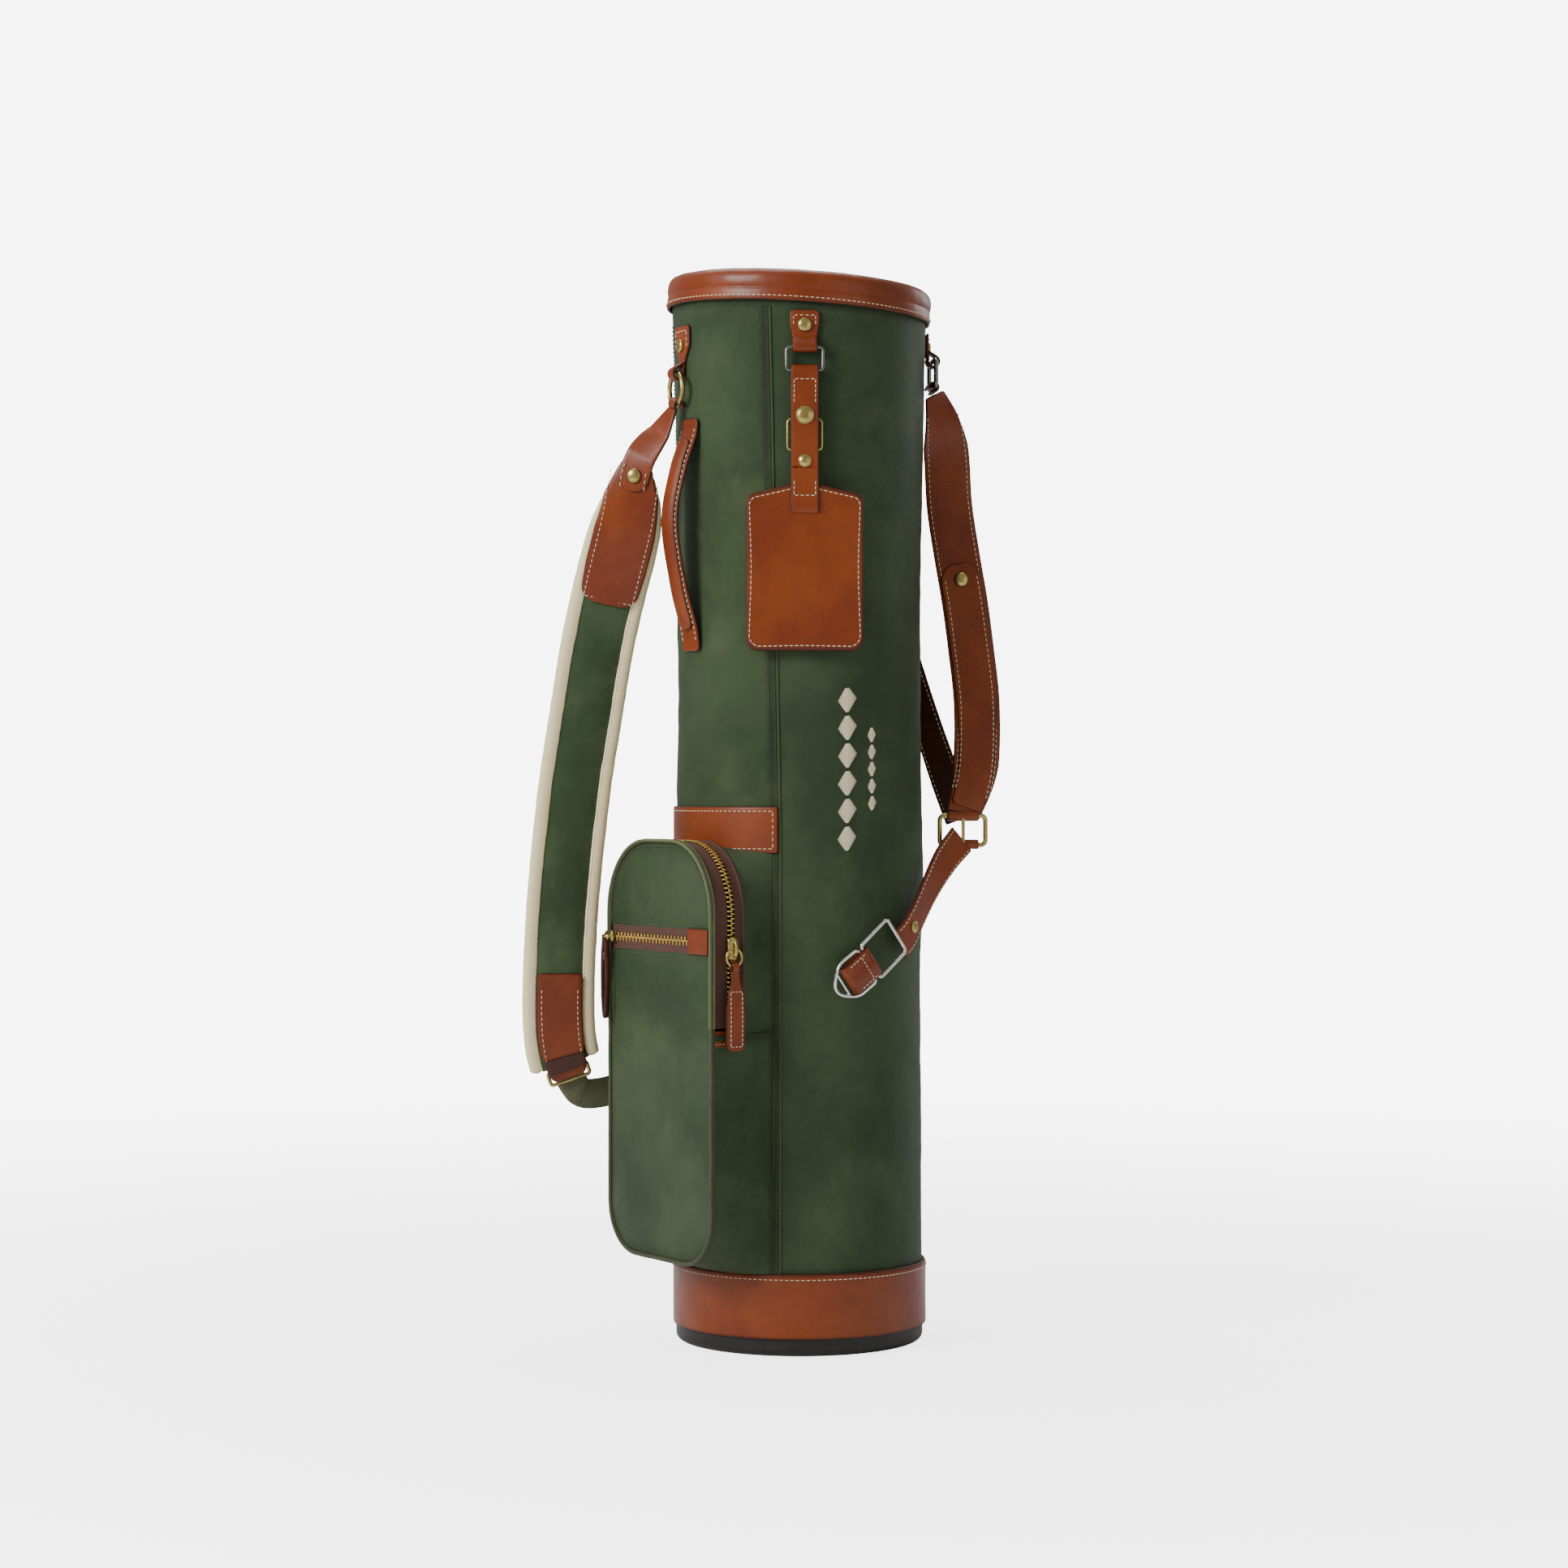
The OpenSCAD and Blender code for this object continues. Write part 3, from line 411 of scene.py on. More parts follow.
class Finish(Enum):
    """Every finish on the bag, by the record's material slot."""

    CANVAS = WaxedCanvas()
    # Trim canvas for the seams: its own cloth, but darker than the body canvas to stand for the shade along the seams,
    # so its darkness is partly painted shade.
    CANVAS_TRIM_PAINTED_SHADE = WaxedCanvas("canvas_trim", (0.013, 0.026, 0.010), (0.028, 0.046, 0.019),
                              (0.10, 0.115, 0.040))
    PIPING = Woven("piping", (0.042, 0.048, 0.014), (0.018, 0.024, 0.007), 0.0008, 0.6, 0.0)
    TAN = Leather("tan_leather", (0.150, 0.0215, 0.0012), (0.200, 0.036, 0.0024), (0.036, 0.006, 0.001))
    # A lighter copy of the body's waxed canvas for the shoulder strap: the extra lightness is painted light.
    LIT_STRAP_CANVAS = WaxedCanvas("lit_strap_canvas", (0.030, 0.056, 0.020), (0.066, 0.104, 0.044),
                               (0.140, 0.160, 0.076))
    DARK = Leather("dark_leather", (0.032, 0.008, 0.004), (0.066, 0.017, 0.007), (0.012, 0.004, 0.003), 0.45)
    CREAM = Woven("cream_binding", (0.88, 0.74, 0.44), (0.70, 0.56, 0.30), 0.0009, 0.72, 0.0)
    WEBBING = Woven("webbing", (0.105, 0.105, 0.045), (0.040, 0.042, 0.018), 0.0016, 0.7, 0.1)
    ZIP_TAPE = Woven("zip_tape", (0.075, 0.022, 0.009), (0.030, 0.010, 0.005), 0.0008, 0.7, 0.05)
    BRASS = Metal("brass", (0.50, 0.39, 0.13), (0.20, 0.15, 0.05), 0.24)
    TEETH = Metal("zip_teeth", (0.62, 0.40, 0.11), (0.30, 0.18, 0.05), 0.26)
    GUNMETAL = Metal("gunmetal", (0.20, 0.195, 0.18), (0.07, 0.07, 0.065), 0.24)
    NICKEL = Metal("nickel", (0.78, 0.76, 0.72), (0.45, 0.43, 0.40), 0.15)
    FOOT = Moulded("foot_plastic", (0.010, 0.009, 0.008), (0.030, 0.028, 0.025), 0.44)
    FRAME = Moulded("frame_plastic", (0.022, 0.020, 0.018), (0.050, 0.046, 0.040), 0.55)
    TUBE = Moulded("tube_plastic", (0.55, 0.53, 0.46), (0.40, 0.38, 0.32), 0.5)
    STEEL = Metal("steel", (0.60, 0.60, 0.58), (0.38, 0.38, 0.37), 0.35)
    FOAM = Moulded("foam", (0.050, 0.050, 0.047), (0.10, 0.10, 0.095), 0.85)
    LINING = Woven("lining", (0.085, 0.074, 0.050), (0.042, 0.036, 0.024), 0.0012)
    DIVIDER = Woven("divider", (0.105, 0.050, 0.026), (0.050, 0.024, 0.013), 0.0011)
    STITCH = Thread("stitch_thread", (0.82, 0.70, 0.48), (0.48, 0.36, 0.20))
    GREEN_STITCH = Thread("green_thread", (0.050, 0.062, 0.025), (0.016, 0.022, 0.010))
    EMBROIDERY = Thread("embroidery", (0.92, 0.82, 0.54), (0.64, 0.54, 0.32))

    def material(self) -> bpy.types.Material:
        """The finish's material, built once."""
        if self.value.name not in MADE:
            MADE[self.value.name] = self.value.make()
        return MADE[self.value.name]

    @property
    def slot(self) -> str:
        """The record's slot that this finish belongs to."""
        shared = {"zip_teeth": "zip_tape", "stitch_thread": "cream_binding", "green_thread": "canvas_trim",
                  "embroidery": "cream_binding", "lit_strap_canvas": "waxed_canvas"}
        return shared.get(self.value.name, self.value.name)


# ---- Shapes: sizes are in millimetres here, and become metres when a mesh is built ----


FOOT_LIP = 1.0
SEAT = 14.0
COLLAR_RISE = 10.0


def radians(degrees: float) -> float:
    """Degrees to radians."""
    return degrees * math.pi / 180


def unit(vectors: Array) -> Array:
    """Vectors at length 1."""
    return vectors / np.maximum(np.linalg.norm(vectors, axis=-1, keepdims=True), 1e-9)


def travelled(points: Array) -> Array:
    """Distance along a line at every point."""
    return np.concatenate([[0.0], np.cumsum(np.linalg.norm(np.diff(points, axis=0), axis=1))])


def spaced(points: Array, count: int) -> Array:
    """Evenly spaced points along a line of straight runs.

    Args:
        points: the line's corners.
        count: number of points, the first and the last corner among them.

    Returns:
        The points.
    """
    own = travelled(points)
    spots = np.linspace(0, own[-1], count)
    return np.stack([np.interp(spots, own, column) for column in points.T], axis=1)


def rounded(half_x: float, half_z: float, radius: float, steps: int) -> list[tuple[float, float]]:
    """Corners of a rounded rectangle, once round from its right side.

    Args:
        half_x: half the distance between its corners' centres, across.
        half_z: the same, upwards.
        radius: the corners' radius.
        steps: points in each corner.

    Returns:
        The points, across and up.
    """
    corners = ((1, 1, 0.0), (-1, 1, 90.0), (-1, -1, 180.0), (1, -1, 270.0))
    turns = [(x, z, radians(start + a)) for x, z, start in corners for a in np.linspace(0, 90, steps)]
    return [(x * half_x + radius * math.cos(a), z * half_z + radius * math.sin(a)) for x, z, a in turns]


def radial(angle: float | Array) -> Array:
    """The way that faces away from the bag at an angle round it."""
    turn = np.radians(angle)
    return np.stack([np.sin(turn), -np.cos(turn), np.zeros_like(turn)], axis=-1)


def box_mm(node: str) -> tuple[Vector, Vector]:
    """A frame node's corners in millimetres."""
    low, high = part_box(node)
    return low / MM, high / MM


def cloudy(points: Array, scale: float, seed: float) -> Array:
    """Smooth noise at every point.

    Args:
        points: places in millimetres.
        scale: size of the clouds, in millimetres.
        seed: moves the pattern.

    Returns:
        Noise from about -1 to 1.
    """
    flat = points.reshape(-1, 3) / scale + seed
    values = np.array([noise.noise(Vector(p)) for p in flat])
    return values.reshape(points.shape[:-1])


@dataclass(frozen=True)
class Barrel:
    """The round body's outer surface."""

    radius: float
    rim: float
    flare: float = 4.5
    flare_height: float = 290.0
    tilt: float = 3.5
    low_side: float = 140.0

    @classmethod
    def read(cls) -> "Barrel":
        """Reads the body's size from the frame."""
        mouth = next(m for m in frame["record"]["mounts"] if m["name"] == "mouth")
        return cls(box_mm("base_foot")[1].x - FOOT_LIP, mouth["pos_m"][2] / MM - COLLAR_RISE)

    def skin(self, z: float | Array) -> Array:
        """Radius of the canvas at a height."""
        share = np.clip((z - self.rim + self.flare_height) / self.flare_height, 0, 2)
        return self.radius + self.flare * share**2

    def turn(self) -> Array:
        """Rotation that tilts the mouth."""
        axis = Vector((math.cos(radians(self.low_side)), math.sin(radians(self.low_side)), 0))
        return np.array(Matrix.Rotation(radians(self.tilt), 3, axis))

    def mouth(self, angle: Array) -> Array:
        """Height of the mouth's seat.

        Args:
            angle: where, round the bag.

        Returns:
            The height at each angle.
        """
        normal = self.turn()[:, 2]
        around = radial(angle) * (self.radius + self.flare)
        return self.rim - (around[..., 0] * normal[0] + around[..., 1] * normal[1]) / normal[2]

    def on_skin(self, angle: float | Array, z: float | Array, out: float = 0.0) -> Array:
        """Points off the canvas.

        Args:
            angle: where they are, round the body.
            z: their heights.
            out: distance off the canvas.

        Returns:
            The points.
        """
        angle, z = np.broadcast_arrays(np.asarray(angle, float), np.asarray(z, float))
        points = radial(angle) * (self.skin(z) + out)[..., None]
        points[..., 2] = z
        return points


BARREL = Barrel.read()


@dataclass
class Path:
    """A line with the direction across it and the direction it faces, at every point."""

    points: Array
    across: Array
    out: Array
    closed: bool = False

    def moved(self, across: float = 0.0, out: float = 0.0, wrap: float = 0.0) -> "Path":
        """The path moved sideways and outwards.

        Args:
            across: distance along its width.
            out: distance along its face.
            wrap: radius that the width is bent round, or 0.

        Returns:
            The moved path.
        """
        drop = across * across / (2 * wrap) if wrap else 0.0
        points = self.points + self.across * across + self.out * (out - drop)
        return Path(points, self.across, self.out, self.closed)

    def lengths(self) -> Array:
        """Distance along the path at every point."""
        return travelled(self.points)

    def at(self, distances: Array) -> "Path":
        """The path sampled at distances along it.

        Args:
            distances: how far along each sample is.

        Returns:
            The sampled path.
        """
        own = self.lengths()
        rows = [
            np.stack([np.interp(distances, own, data[:, k]) for k in range(3)], axis=1)
            for data in (self.points, self.across, self.out)
        ]
        return Path(rows[0], unit(rows[1]), unit(rows[2]), self.closed)

    def cut(self, start: float, end: float) -> "Path":
        """The part of the path between two distances.

        Args:
            start: where it begins.
            end: where it ends; a negative end counts from the far end.

        Returns:
            The part, sampled about every 3 mm.
        """
        length = self.lengths()[-1]
        end = end if end > 0 else length + end
        return self.at(np.linspace(start, end, max(4, int((end - start) / 3))))


@dataclass(frozen=True)
class Route:
    """A strap's route: angle, distance off the canvas, distance below the rim and angle faced."""

    rows: tuple[tuple[float, float, float, float], ...]

    def path(self, start: float = 0.0, end: float = -1.0, steps: int = 90) -> Path:
        """A smooth path through the rows.

        Args:
            start: first place, counted in rows.
            end: last place, or -1 for the last row.
            steps: number of steps.

        Returns:
            The path.
        """
        last = len(self.rows) - 1
        places = np.linspace(start, end if end >= 0 else last, steps + 1)
        rows = np.array([self._row(s) for s in places])
        points = self._points(rows)
        ahead = np.array([self._row(min(s + 0.05, last)) for s in places])
        behind = np.array([self._row(max(s - 0.05, 0)) for s in places])
        run = unit(self._points(ahead) - self._points(behind))
        across = unit(np.cross(run, radial(rows[:, 3])))
        return Path(points, across, np.cross(across, run))

    def _points(self, rows: Array) -> Array:
        """Points for interpolated rows."""
        return BARREL.on_skin(rows[:, 0], BARREL.rim - rows[:, 2], 0.0) + radial(rows[:, 0]) * rows[:, 1:2]

    def _row(self, s: float) -> Array:
        """The route at one place, on a smooth curve through its rows.

        Args:
            s: the place, counted in rows.

        Returns:
            A row of the same four values.
        """
        rows, last = np.array(self.rows, float), len(self.rows) - 1
        i = min(int(s), last - 1)
        t = s - i
        a, b, c, d = rows[max(i - 1, 0)], rows[i], rows[i + 1], rows[min(i + 2, last)]
        return (2 * b + (c - a) * t + (2 * a - 5 * b + 4 * c - d) * t * t + (3 * b - a - 3 * c + d) * t**3) / 2


def wave(points: Array) -> Array:
    """How far the slack canvas stands off its round shape.

    Args:
        points: places on the canvas.

    Returns:
        Distance outwards at each, held clear of the tube inside and nothing at both ends.
    """
    inmost, outmost = -1.1, 1.9
    level = np.clip((points[..., 2] - SEAT) / (BARREL.rim - SEAT), 0, 1)
    soft = cloudy(points * [1, 1, 0.45], 46.0, 1.7) * 1.9 + cloudy(points * [1, 1, 1.8], 26.0, 9.1) * 0.6
    return np.clip(soft + 0.2, inmost, outmost) * np.sin(level * math.pi) ** 0.8


def skin_arc(low: float, high: float, z: float, out: float, steps: int = 90, closed: bool = False) -> Path:
    """A level path round the body.

    Args:
        low: first angle.
        high: last angle.
        z: height.
        out: distance off the canvas.
        steps: number of steps.
        closed: whether it is a full ring.

    Returns:
        The path, with its width upwards.
    """
    angles = np.linspace(low, high, steps + 1)[: steps if closed else None]
    up = np.tile([0.0, 0.0, 1.0], (len(angles), 1))
    return Path(BARREL.on_skin(angles, z, out), up, radial(angles), closed)


def skin_drop(angle: float, high: float, low: float, out: float, steps: int = 24, lean: float = 0.0) -> Path:
    """A path down the body.

    Args:
        angle: where it is, round the body.
        high: upper end.
        low: lower end.
        out: distance off the canvas.
        steps: number of steps.
        lean: how far its angle has grown at the pocket's top and below.

    Returns:
        The path.
    """
    z = np.linspace(high, low, steps + 1)
    angles = angle + lean * np.clip((BARREL.rim - z) / 450, 0, 1)
    return Path(BARREL.on_skin(angles, z, out), radial(angles + 90), radial(angles))


def cloth_area(obj: bpy.types.Object) -> float:
    """Area of a piece's faces, in square metres."""
    return sum(face.area for face in obj.data.polygons)


def through(points: Sequence, out: Sequence[float], steps: int = 40) -> Path:
    """An evenly sampled path through a few points, which faces one way.

    Args:
        points: the points.
        out: the way that it faces.
        steps: number of samples.

    Returns:
        The path.
    """
    line = spaced(np.array(points, float), steps + 1)
    run = unit(np.gradient(line, axis=0))
    face = np.tile(np.array(out, float), (steps + 1, 1))
    across = unit(np.cross(run, face))
    return Path(line, across, unit(np.cross(across, run)))


@dataclass(frozen=True)
class Bend:
    """Two frame bodies and the line between them that a piece lies across."""

    first: str
    second: str
    start: tuple[float, float, float]
    end: tuple[float, float, float]


class Maker:
    """Collects grids of points into one mesh with a layout in metres and marks for wear, edges and painted shade."""

    MARKS = ("wear", "edge", "shade")

    def __init__(self) -> None:
        """Starts empty."""
        self.points: list[Array] = []
        self.faces: list[Array] = []
        self.layout: list[Array] = []
        self.marks: dict[str, list[Array]] = {name: [] for name in self.MARKS}
        self.count = 0

    def grid(self, points: Array, ring: bool = False, loop: bool = False,
             **marks: "float | Array") -> "Maker":
        """Adds a grid of quads.

        Args:
            points: rows by columns by 3.
            ring: joins the last column to the first.
            loop: joins the last row to the first.
            marks: wear, edge or shade, as a number or a grid of numbers.

        Returns:
            The maker.
        """
        rows, columns = points.shape[:2]
        i, j = np.meshgrid(np.arange(rows - (not loop)), np.arange(columns - (not ring)), indexing="ij")
        i, j = i.ravel(), j.ravel()
        corners = [(i, j), (i, j + 1), (i + 1, j + 1), (i + 1, j)]
        numbers = np.stack([a % rows * columns + b % columns for a, b in corners], axis=1)
        self.faces.append(numbers + self.count)
        wide = np.concatenate([points, points[:, :1]], axis=1)
        tall = np.concatenate([points, points[:1]], axis=0)
        u = np.concatenate([[0], np.cumsum(np.linalg.norm(np.diff(wide, axis=1), axis=2).mean(axis=0))])
        v = np.concatenate([[0], np.cumsum(np.linalg.norm(np.diff(tall, axis=0), axis=2).mean(axis=1))])
        self.layout.append(np.stack([np.stack([u[b], v[a]], axis=1) for a, b in corners], axis=1) * MM)
        self.points.append(points.reshape(-1, 3))
        for name in self.MARKS:
            value = np.broadcast_to(np.asarray(marks.get(name, 0.0), float), (rows, columns))
            self.marks[name].append(value.reshape(-1))
        self.count += rows * columns
        return self

    def tube(self, points: Array, radius: "float | Array", closed: bool = False, sides: int = 12,
             **marks: "float | Array") -> "Maker":
        """Adds a round tube along a line.

        Args:
            points: the centreline.
            radius: one radius, or one for each point.
            closed: whether the line is a loop.
            sides: number of sides.
            marks: wear, edge or shade.

        Returns:
            The maker.
        """
        if closed:
            run = unit(np.roll(points, -1, axis=0) - np.roll(points, 1, axis=0))
        else:
            run = unit(np.gradient(points, axis=0))
        side = unit(np.cross(run[0], [0.31, 0.17, 0.93]))
        sides_out = []
        for direction in run:
            side = unit(side - direction * np.dot(side, direction))
            sides_out.append(side)
        first = np.array(sides_out)
        second = np.cross(run, first)
        if closed:
            drift = math.atan2(np.dot(first[-1], second[0]), np.dot(first[-1], first[0]))
            fix = -drift * np.arange(len(points)) / len(points)
            first, second = (
                first * np.cos(fix)[:, None] + second * np.sin(fix)[:, None],
                second * np.cos(fix)[:, None] - first * np.sin(fix)[:, None],
            )
        radii = np.broadcast_to(np.asarray(radius, float), (len(points),)).copy()
        turn = np.linspace(0, 2 * math.pi, sides, endpoint=False)
        ring = first[:, None] * np.cos(turn)[None, :, None] + second[:, None] * np.sin(turn)[None, :, None]
        body = points[:, None] + ring * radii[:, None, None]
        if not closed:
            first_end, last_end = (np.repeat(end[:, None], sides, 1) for end in (points[:1], points[-1:]))
            body = np.concatenate([first_end, body, last_end])
        return self.grid(body, ring=True, loop=closed, **marks)

    def strip(self, path: Path, widths: "float | Sequence[float]", thick: float, crown: float = 0.0,
              tips: tuple[float, float] = (0.0, 0.0), wrap: float = 0.0, pitch: float = 4.0,
              ripple: float = 0.0) -> "Maker":
        """Adds a flat strap with rounded edges.

        Args:
            path: where its middle runs.
            widths: one width, or widths spaced evenly along it.
            thick: its thickness.
            crown: extra thickness in the middle of the face.
            tips: radius of each end's corners in plan.
            wrap: radius that its width is bent round, or 0.
            pitch: length of one step.
            ripple: height of a slight unevenness.

        Returns:
            The maker.
        """
        total = path.lengths()[-1]
        edge = thick / 2
        base = np.linspace(0, total, max(8, int(total / pitch)) + 1)
        bows = [edge * (1 - math.cos(f)) for f in np.linspace(0, math.pi / 2, 5)]
        marks = [base[(base > edge) & (base < total - edge)], bows, [total - b for b in bows]]
        for tip, far in ((tips[0], False), (tips[1], True)):
            curve = tip * (1 - np.cos(np.linspace(0, math.pi / 2, 9)))
            marks.append(total - curve if far else curve)
        spots = np.unique(np.round(np.concatenate([np.asarray(m, float) for m in marks]), 4))
        rows = path.at(spots)
        width = np.interp(spots, np.linspace(0, total, np.size(widths)), np.atleast_1d(widths)) \
            if np.size(widths) > 1 else np.full(len(spots), float(np.squeeze(widths)))
        for tip, distance in ((tips[0], spots), (tips[1], total - spots)):
            if tip:
                left = tip - np.clip(distance, 0.02, tip)
                width = width - 2 * (tip - np.sqrt(np.clip(tip**2 - left**2, 0, None)))
        near = np.clip(np.minimum(spots, total - spots) / edge, 0, 1)
        full = np.sqrt(np.clip(1 - (1 - near) ** 2, 0, 1))
        half = np.maximum(width / 2 - edge * (1 - full), 0.05)
        flat, bend = np.linspace(-1, 1, 13), np.linspace(math.pi / 2, -math.pi / 2, 7)[1:-1]
        a = [*flat, *[1.0] * 5, *flat[::-1], *[-1.0] * 5]
        over = [*[0.0] * 13, *np.cos(bend), *[0.0] * 13, *-np.cos(bend)]
        height = [*[1.0] * 13, *np.sin(bend), *[-1.0] * 13, *-np.sin(bend)]
        a, over, height = np.array(a), np.array(over), np.array(height)
        inner = np.maximum(half - np.minimum(edge, half * 0.9), 0.0)
        sideways = inner[:, None] * a[None] + np.minimum(edge, half)[:, None] * over[None]
        bulge = crown * (1 - np.abs(a) ** 2.4)[None] * (height > 0.5)[None] * full[:, None]
        rise = edge * full[:, None] * height[None] + bulge
        if wrap:
            rise = rise - sideways**2 / (2 * wrap)
        points = (rows.points[:, None] + rows.across[:, None] * sideways[..., None]
                  + rows.out[:, None] * rise[..., None])
        if ripple:
            points = points + rows.out[:, None] * (cloudy(points, 34.0, 3.3) * ripple)[..., None]
        burnish = np.clip(1 - np.minimum(half[:, None] - np.abs(sideways), spots[:, None]) / 2.2, 0, 1)
        return self.grid(points, ring=True, edge=burnish)

    def turning(self, centre: Array, axis: Array, profile: Sequence[tuple[float, float]],
                sides: int = 32) -> "Maker":
        """Adds a turned shape.

        Args:
            centre: where its axis starts.
            axis: the way that its axis points.
            profile: radius and height, from one end to the other.
            sides: number of sides.

        Returns:
            The maker.
        """
        axis = unit(np.asarray(axis, float))
        first = unit(np.cross(axis, [0.0, 0.0, 1.0] if abs(axis[2]) < 0.9 else [1.0, 0.0, 0.0]))
        second = np.cross(axis, first)
        turn = np.linspace(0, 2 * math.pi, sides, endpoint=False)
        ring = first * np.cos(turn)[:, None] + second * np.sin(turn)[:, None]
        rows = [centre + axis * h + ring * r for r, h in profile]
        return self.grid(np.array(rows), ring=True)

    def build(self, name: str) -> bpy.types.Object:
        """Makes the mesh and its object.

        Args:
            name: the object's name.

        Returns:
            The object, linked into the scene.
        """
        points = np.concatenate(self.points) * MM
        faces = np.concatenate(self.faces)
        mesh = bpy.data.meshes.new(name)
        mesh.vertices.add(len(points))
        mesh.vertices.foreach_set("co", points.ravel())
        mesh.loops.add(faces.size)
        mesh.loops.foreach_set("vertex_index", faces.ravel())
        mesh.polygons.add(len(faces))
        mesh.polygons.foreach_set("loop_start", np.arange(0, faces.size, 4))
        mesh.update(calc_edges=True)
        mesh.uv_layers.new(name="layout").data.foreach_set("uv", np.concatenate(self.layout).ravel())
        for mark, values in self.marks.items():
            mesh.attributes.new(mark, "FLOAT", "POINT").data.foreach_set("value", np.concatenate(values))
        shape = bmesh.new()
        shape.from_mesh(mesh)
        bmesh.ops.remove_doubles(shape, verts=shape.verts, dist=2e-6)
        bmesh.ops.recalc_face_normals(shape, faces=shape.faces)
        shape.to_mesh(mesh)
        shape.free()
        mesh.shade_smooth()
        obj = bpy.data.objects.new(name, mesh)
        bpy.context.scene.collection.objects.link(obj)
        return obj

    def piece(self, name: str, finish: Finish, body: "str | Bend", *stands_for: str,
              smoother: int = 0) -> bpy.types.Object:
        """Makes a finished piece that rides on a body, or that stays fixed in place when given a Bend.

        Args:
            name: the piece's name.
            finish: what it is made of.
            body: the frame body that it moves with, or a Bend, which leaves the piece fixed where it is.
            stands_for: frame nodes that it is shown instead of.
            smoother: levels of subdivision.

        Returns:
            The piece.
        """
        obj = self.build(name)
        if smoother:
            obj.modifiers.new("smoother", "SUBSURF").levels = smoother
            obj.modifiers["smoother"].render_levels = smoother
        obj.data.materials.append(finish.material())
        if isinstance(body, Bend):
            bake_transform(obj)
        else:
            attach(obj, body)
        if stands_for:
            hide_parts(*stands_for)
        LOG.info("%s: %d faces in %s, on %s", name, len(obj.data.polygons), finish.value.name, body)
        return obj


@dataclass
class Stitching:
    """Rows of single stitches, each one a short fat thread that dips at its ends."""

    pitch: float = 4.3
    length: float = 3.1
    thick: float = 0.74
    spots: list[tuple[Array, Array, Array, Array]] = field(default_factory=list)

    def line(self, path: Path, lift: float = 0.0) -> "Stitching":
        """Adds a row of stitches.

        Args:
            path: the line that they follow, facing out of the surface.
            lift: height over the line.

        Returns:
            The stitching.
        """
        if path.closed:
            wrapped = [np.concatenate([d, d[:1]]) for d in (path.points, path.across, path.out)]
            path = Path(*wrapped)
        total = path.lengths()[-1]
        count = max(1, int(total / self.pitch))
        middles = (np.arange(count) + 0.5) * total / count
        here = path.at(middles)
        ahead, behind = path.at(np.minimum(middles + 0.6, total)), path.at(np.maximum(middles - 0.6, 0))
        runs = unit(ahead.points - behind.points)
        self.spots.append((here.points + here.out * lift, runs, here.out, np.ones(count)))
        return self

    def both_edges(self, path: Path, width: float, inset: float, lift: float, wrap: float = 0.0,
                   trim: float = 3.0) -> "Stitching":
        """Adds a row along each edge of a strap.

        Args:
            path: the strap's middle.
            width: the strap's width.
            inset: how far a row is from its edge.
            lift: height of the rows over the path.
            wrap: radius that the width is bent round, or 0.
            trim: how far the rows stop short of the ends.

        Returns:
            The stitching.
        """
        for side in (-1, 1):
            line = path.moved(side * (width / 2 - inset), lift, wrap)
            self.line(line.cut(trim, -trim))
        return self

    def frame_line(self, path: Path, width: float, inset: float, lift: float, wrap: float = 0.0,
                   ends: tuple[bool, bool] = (True, True)) -> "Stitching":
        """Adds rows along both edges and across the ends of a patch.

        Args:
            path: the patch's middle.
            width: the patch's width.
            inset: how far a row is from its edge.
            lift: height of the rows over the path.
            wrap: radius that the width is bent round, or 0.
            ends: whether the first and the last end have a row.

        Returns:
            The stitching.
        """
        self.both_edges(path, width, inset, lift, wrap, trim=inset)
        total = path.lengths()[-1]
        for far, wanted in enumerate(ends):
            if wanted:
                end = path.at(np.array([inset, total - inset][far : far + 1]))
                sides = np.linspace(-(width / 2 - inset), width / 2 - inset, 9)
                drop = sides**2 / (2 * wrap) if wrap else 0 * sides
                points = end.points + end.across * sides[:, None] + end.out * (lift - drop)[:, None]
                self.line(Path(points, np.repeat(end.across, 9, 0), np.repeat(end.out, 9, 0)))
        return self

    def piece(self, name: str, body: str, finish: Finish = Finish.STITCH) -> bpy.types.Object:
        """Makes one piece of all the rows.

        Args:
            name: the piece's name.
            body: the frame body that it moves with.
            finish: the thread.

        Returns:
            The piece.
        """
        centre, run, out, size = (np.concatenate(parts) for parts in zip(*self.spots))
        side = np.cross(run, out)
        along = np.array([-0.5, -0.46, -0.3, 0.0, 0.3, 0.46, 0.5]) * self.length
        girth = np.array([0.0, 0.55, 0.9, 1.0, 0.9, 0.55, 0.0]) * self.thick / 2
        dip = np.array([-1.0, -0.6, 0.1, 0.45, 0.1, -0.6, -1.0]) * self.thick / 2
        turn = np.linspace(0, 2 * math.pi, 7, endpoint=False)
        maker = Maker()
        for c, r, o, s, k in zip(centre, run, out, side, size):
            ring = s * np.cos(turn)[:, None] + o * np.sin(turn)[:, None]
            line = c + r * along[:, None] * k + o * dip[:, None]
            maker.grid(line[:, None] + ring[None] * girth[:, None, None], ring=True)
        return maker.piece(name, finish, body)


# ---- The bag's assemblies ----

RIVET_PROFILE = ((0.0, 2.7), (2.0, 2.6), (3.6, 2.2), (4.7, 1.5), (5.2, 0.8), (5.2, 0.2), (4.9, -0.4),
                 (0.0, -0.4))


def rivet(maker: Maker, centre: Array, out: Array, size: float = 1.0) -> None:
    """Adds a domed rivet head.

    Args:
        maker: what collects it.
        centre: middle of its foot.
        out: the way that it faces.
        size: scale of the standard head.
    """
    maker.turning(centre, out, [(r * size, h * size) for r, h in RIVET_PROFILE])


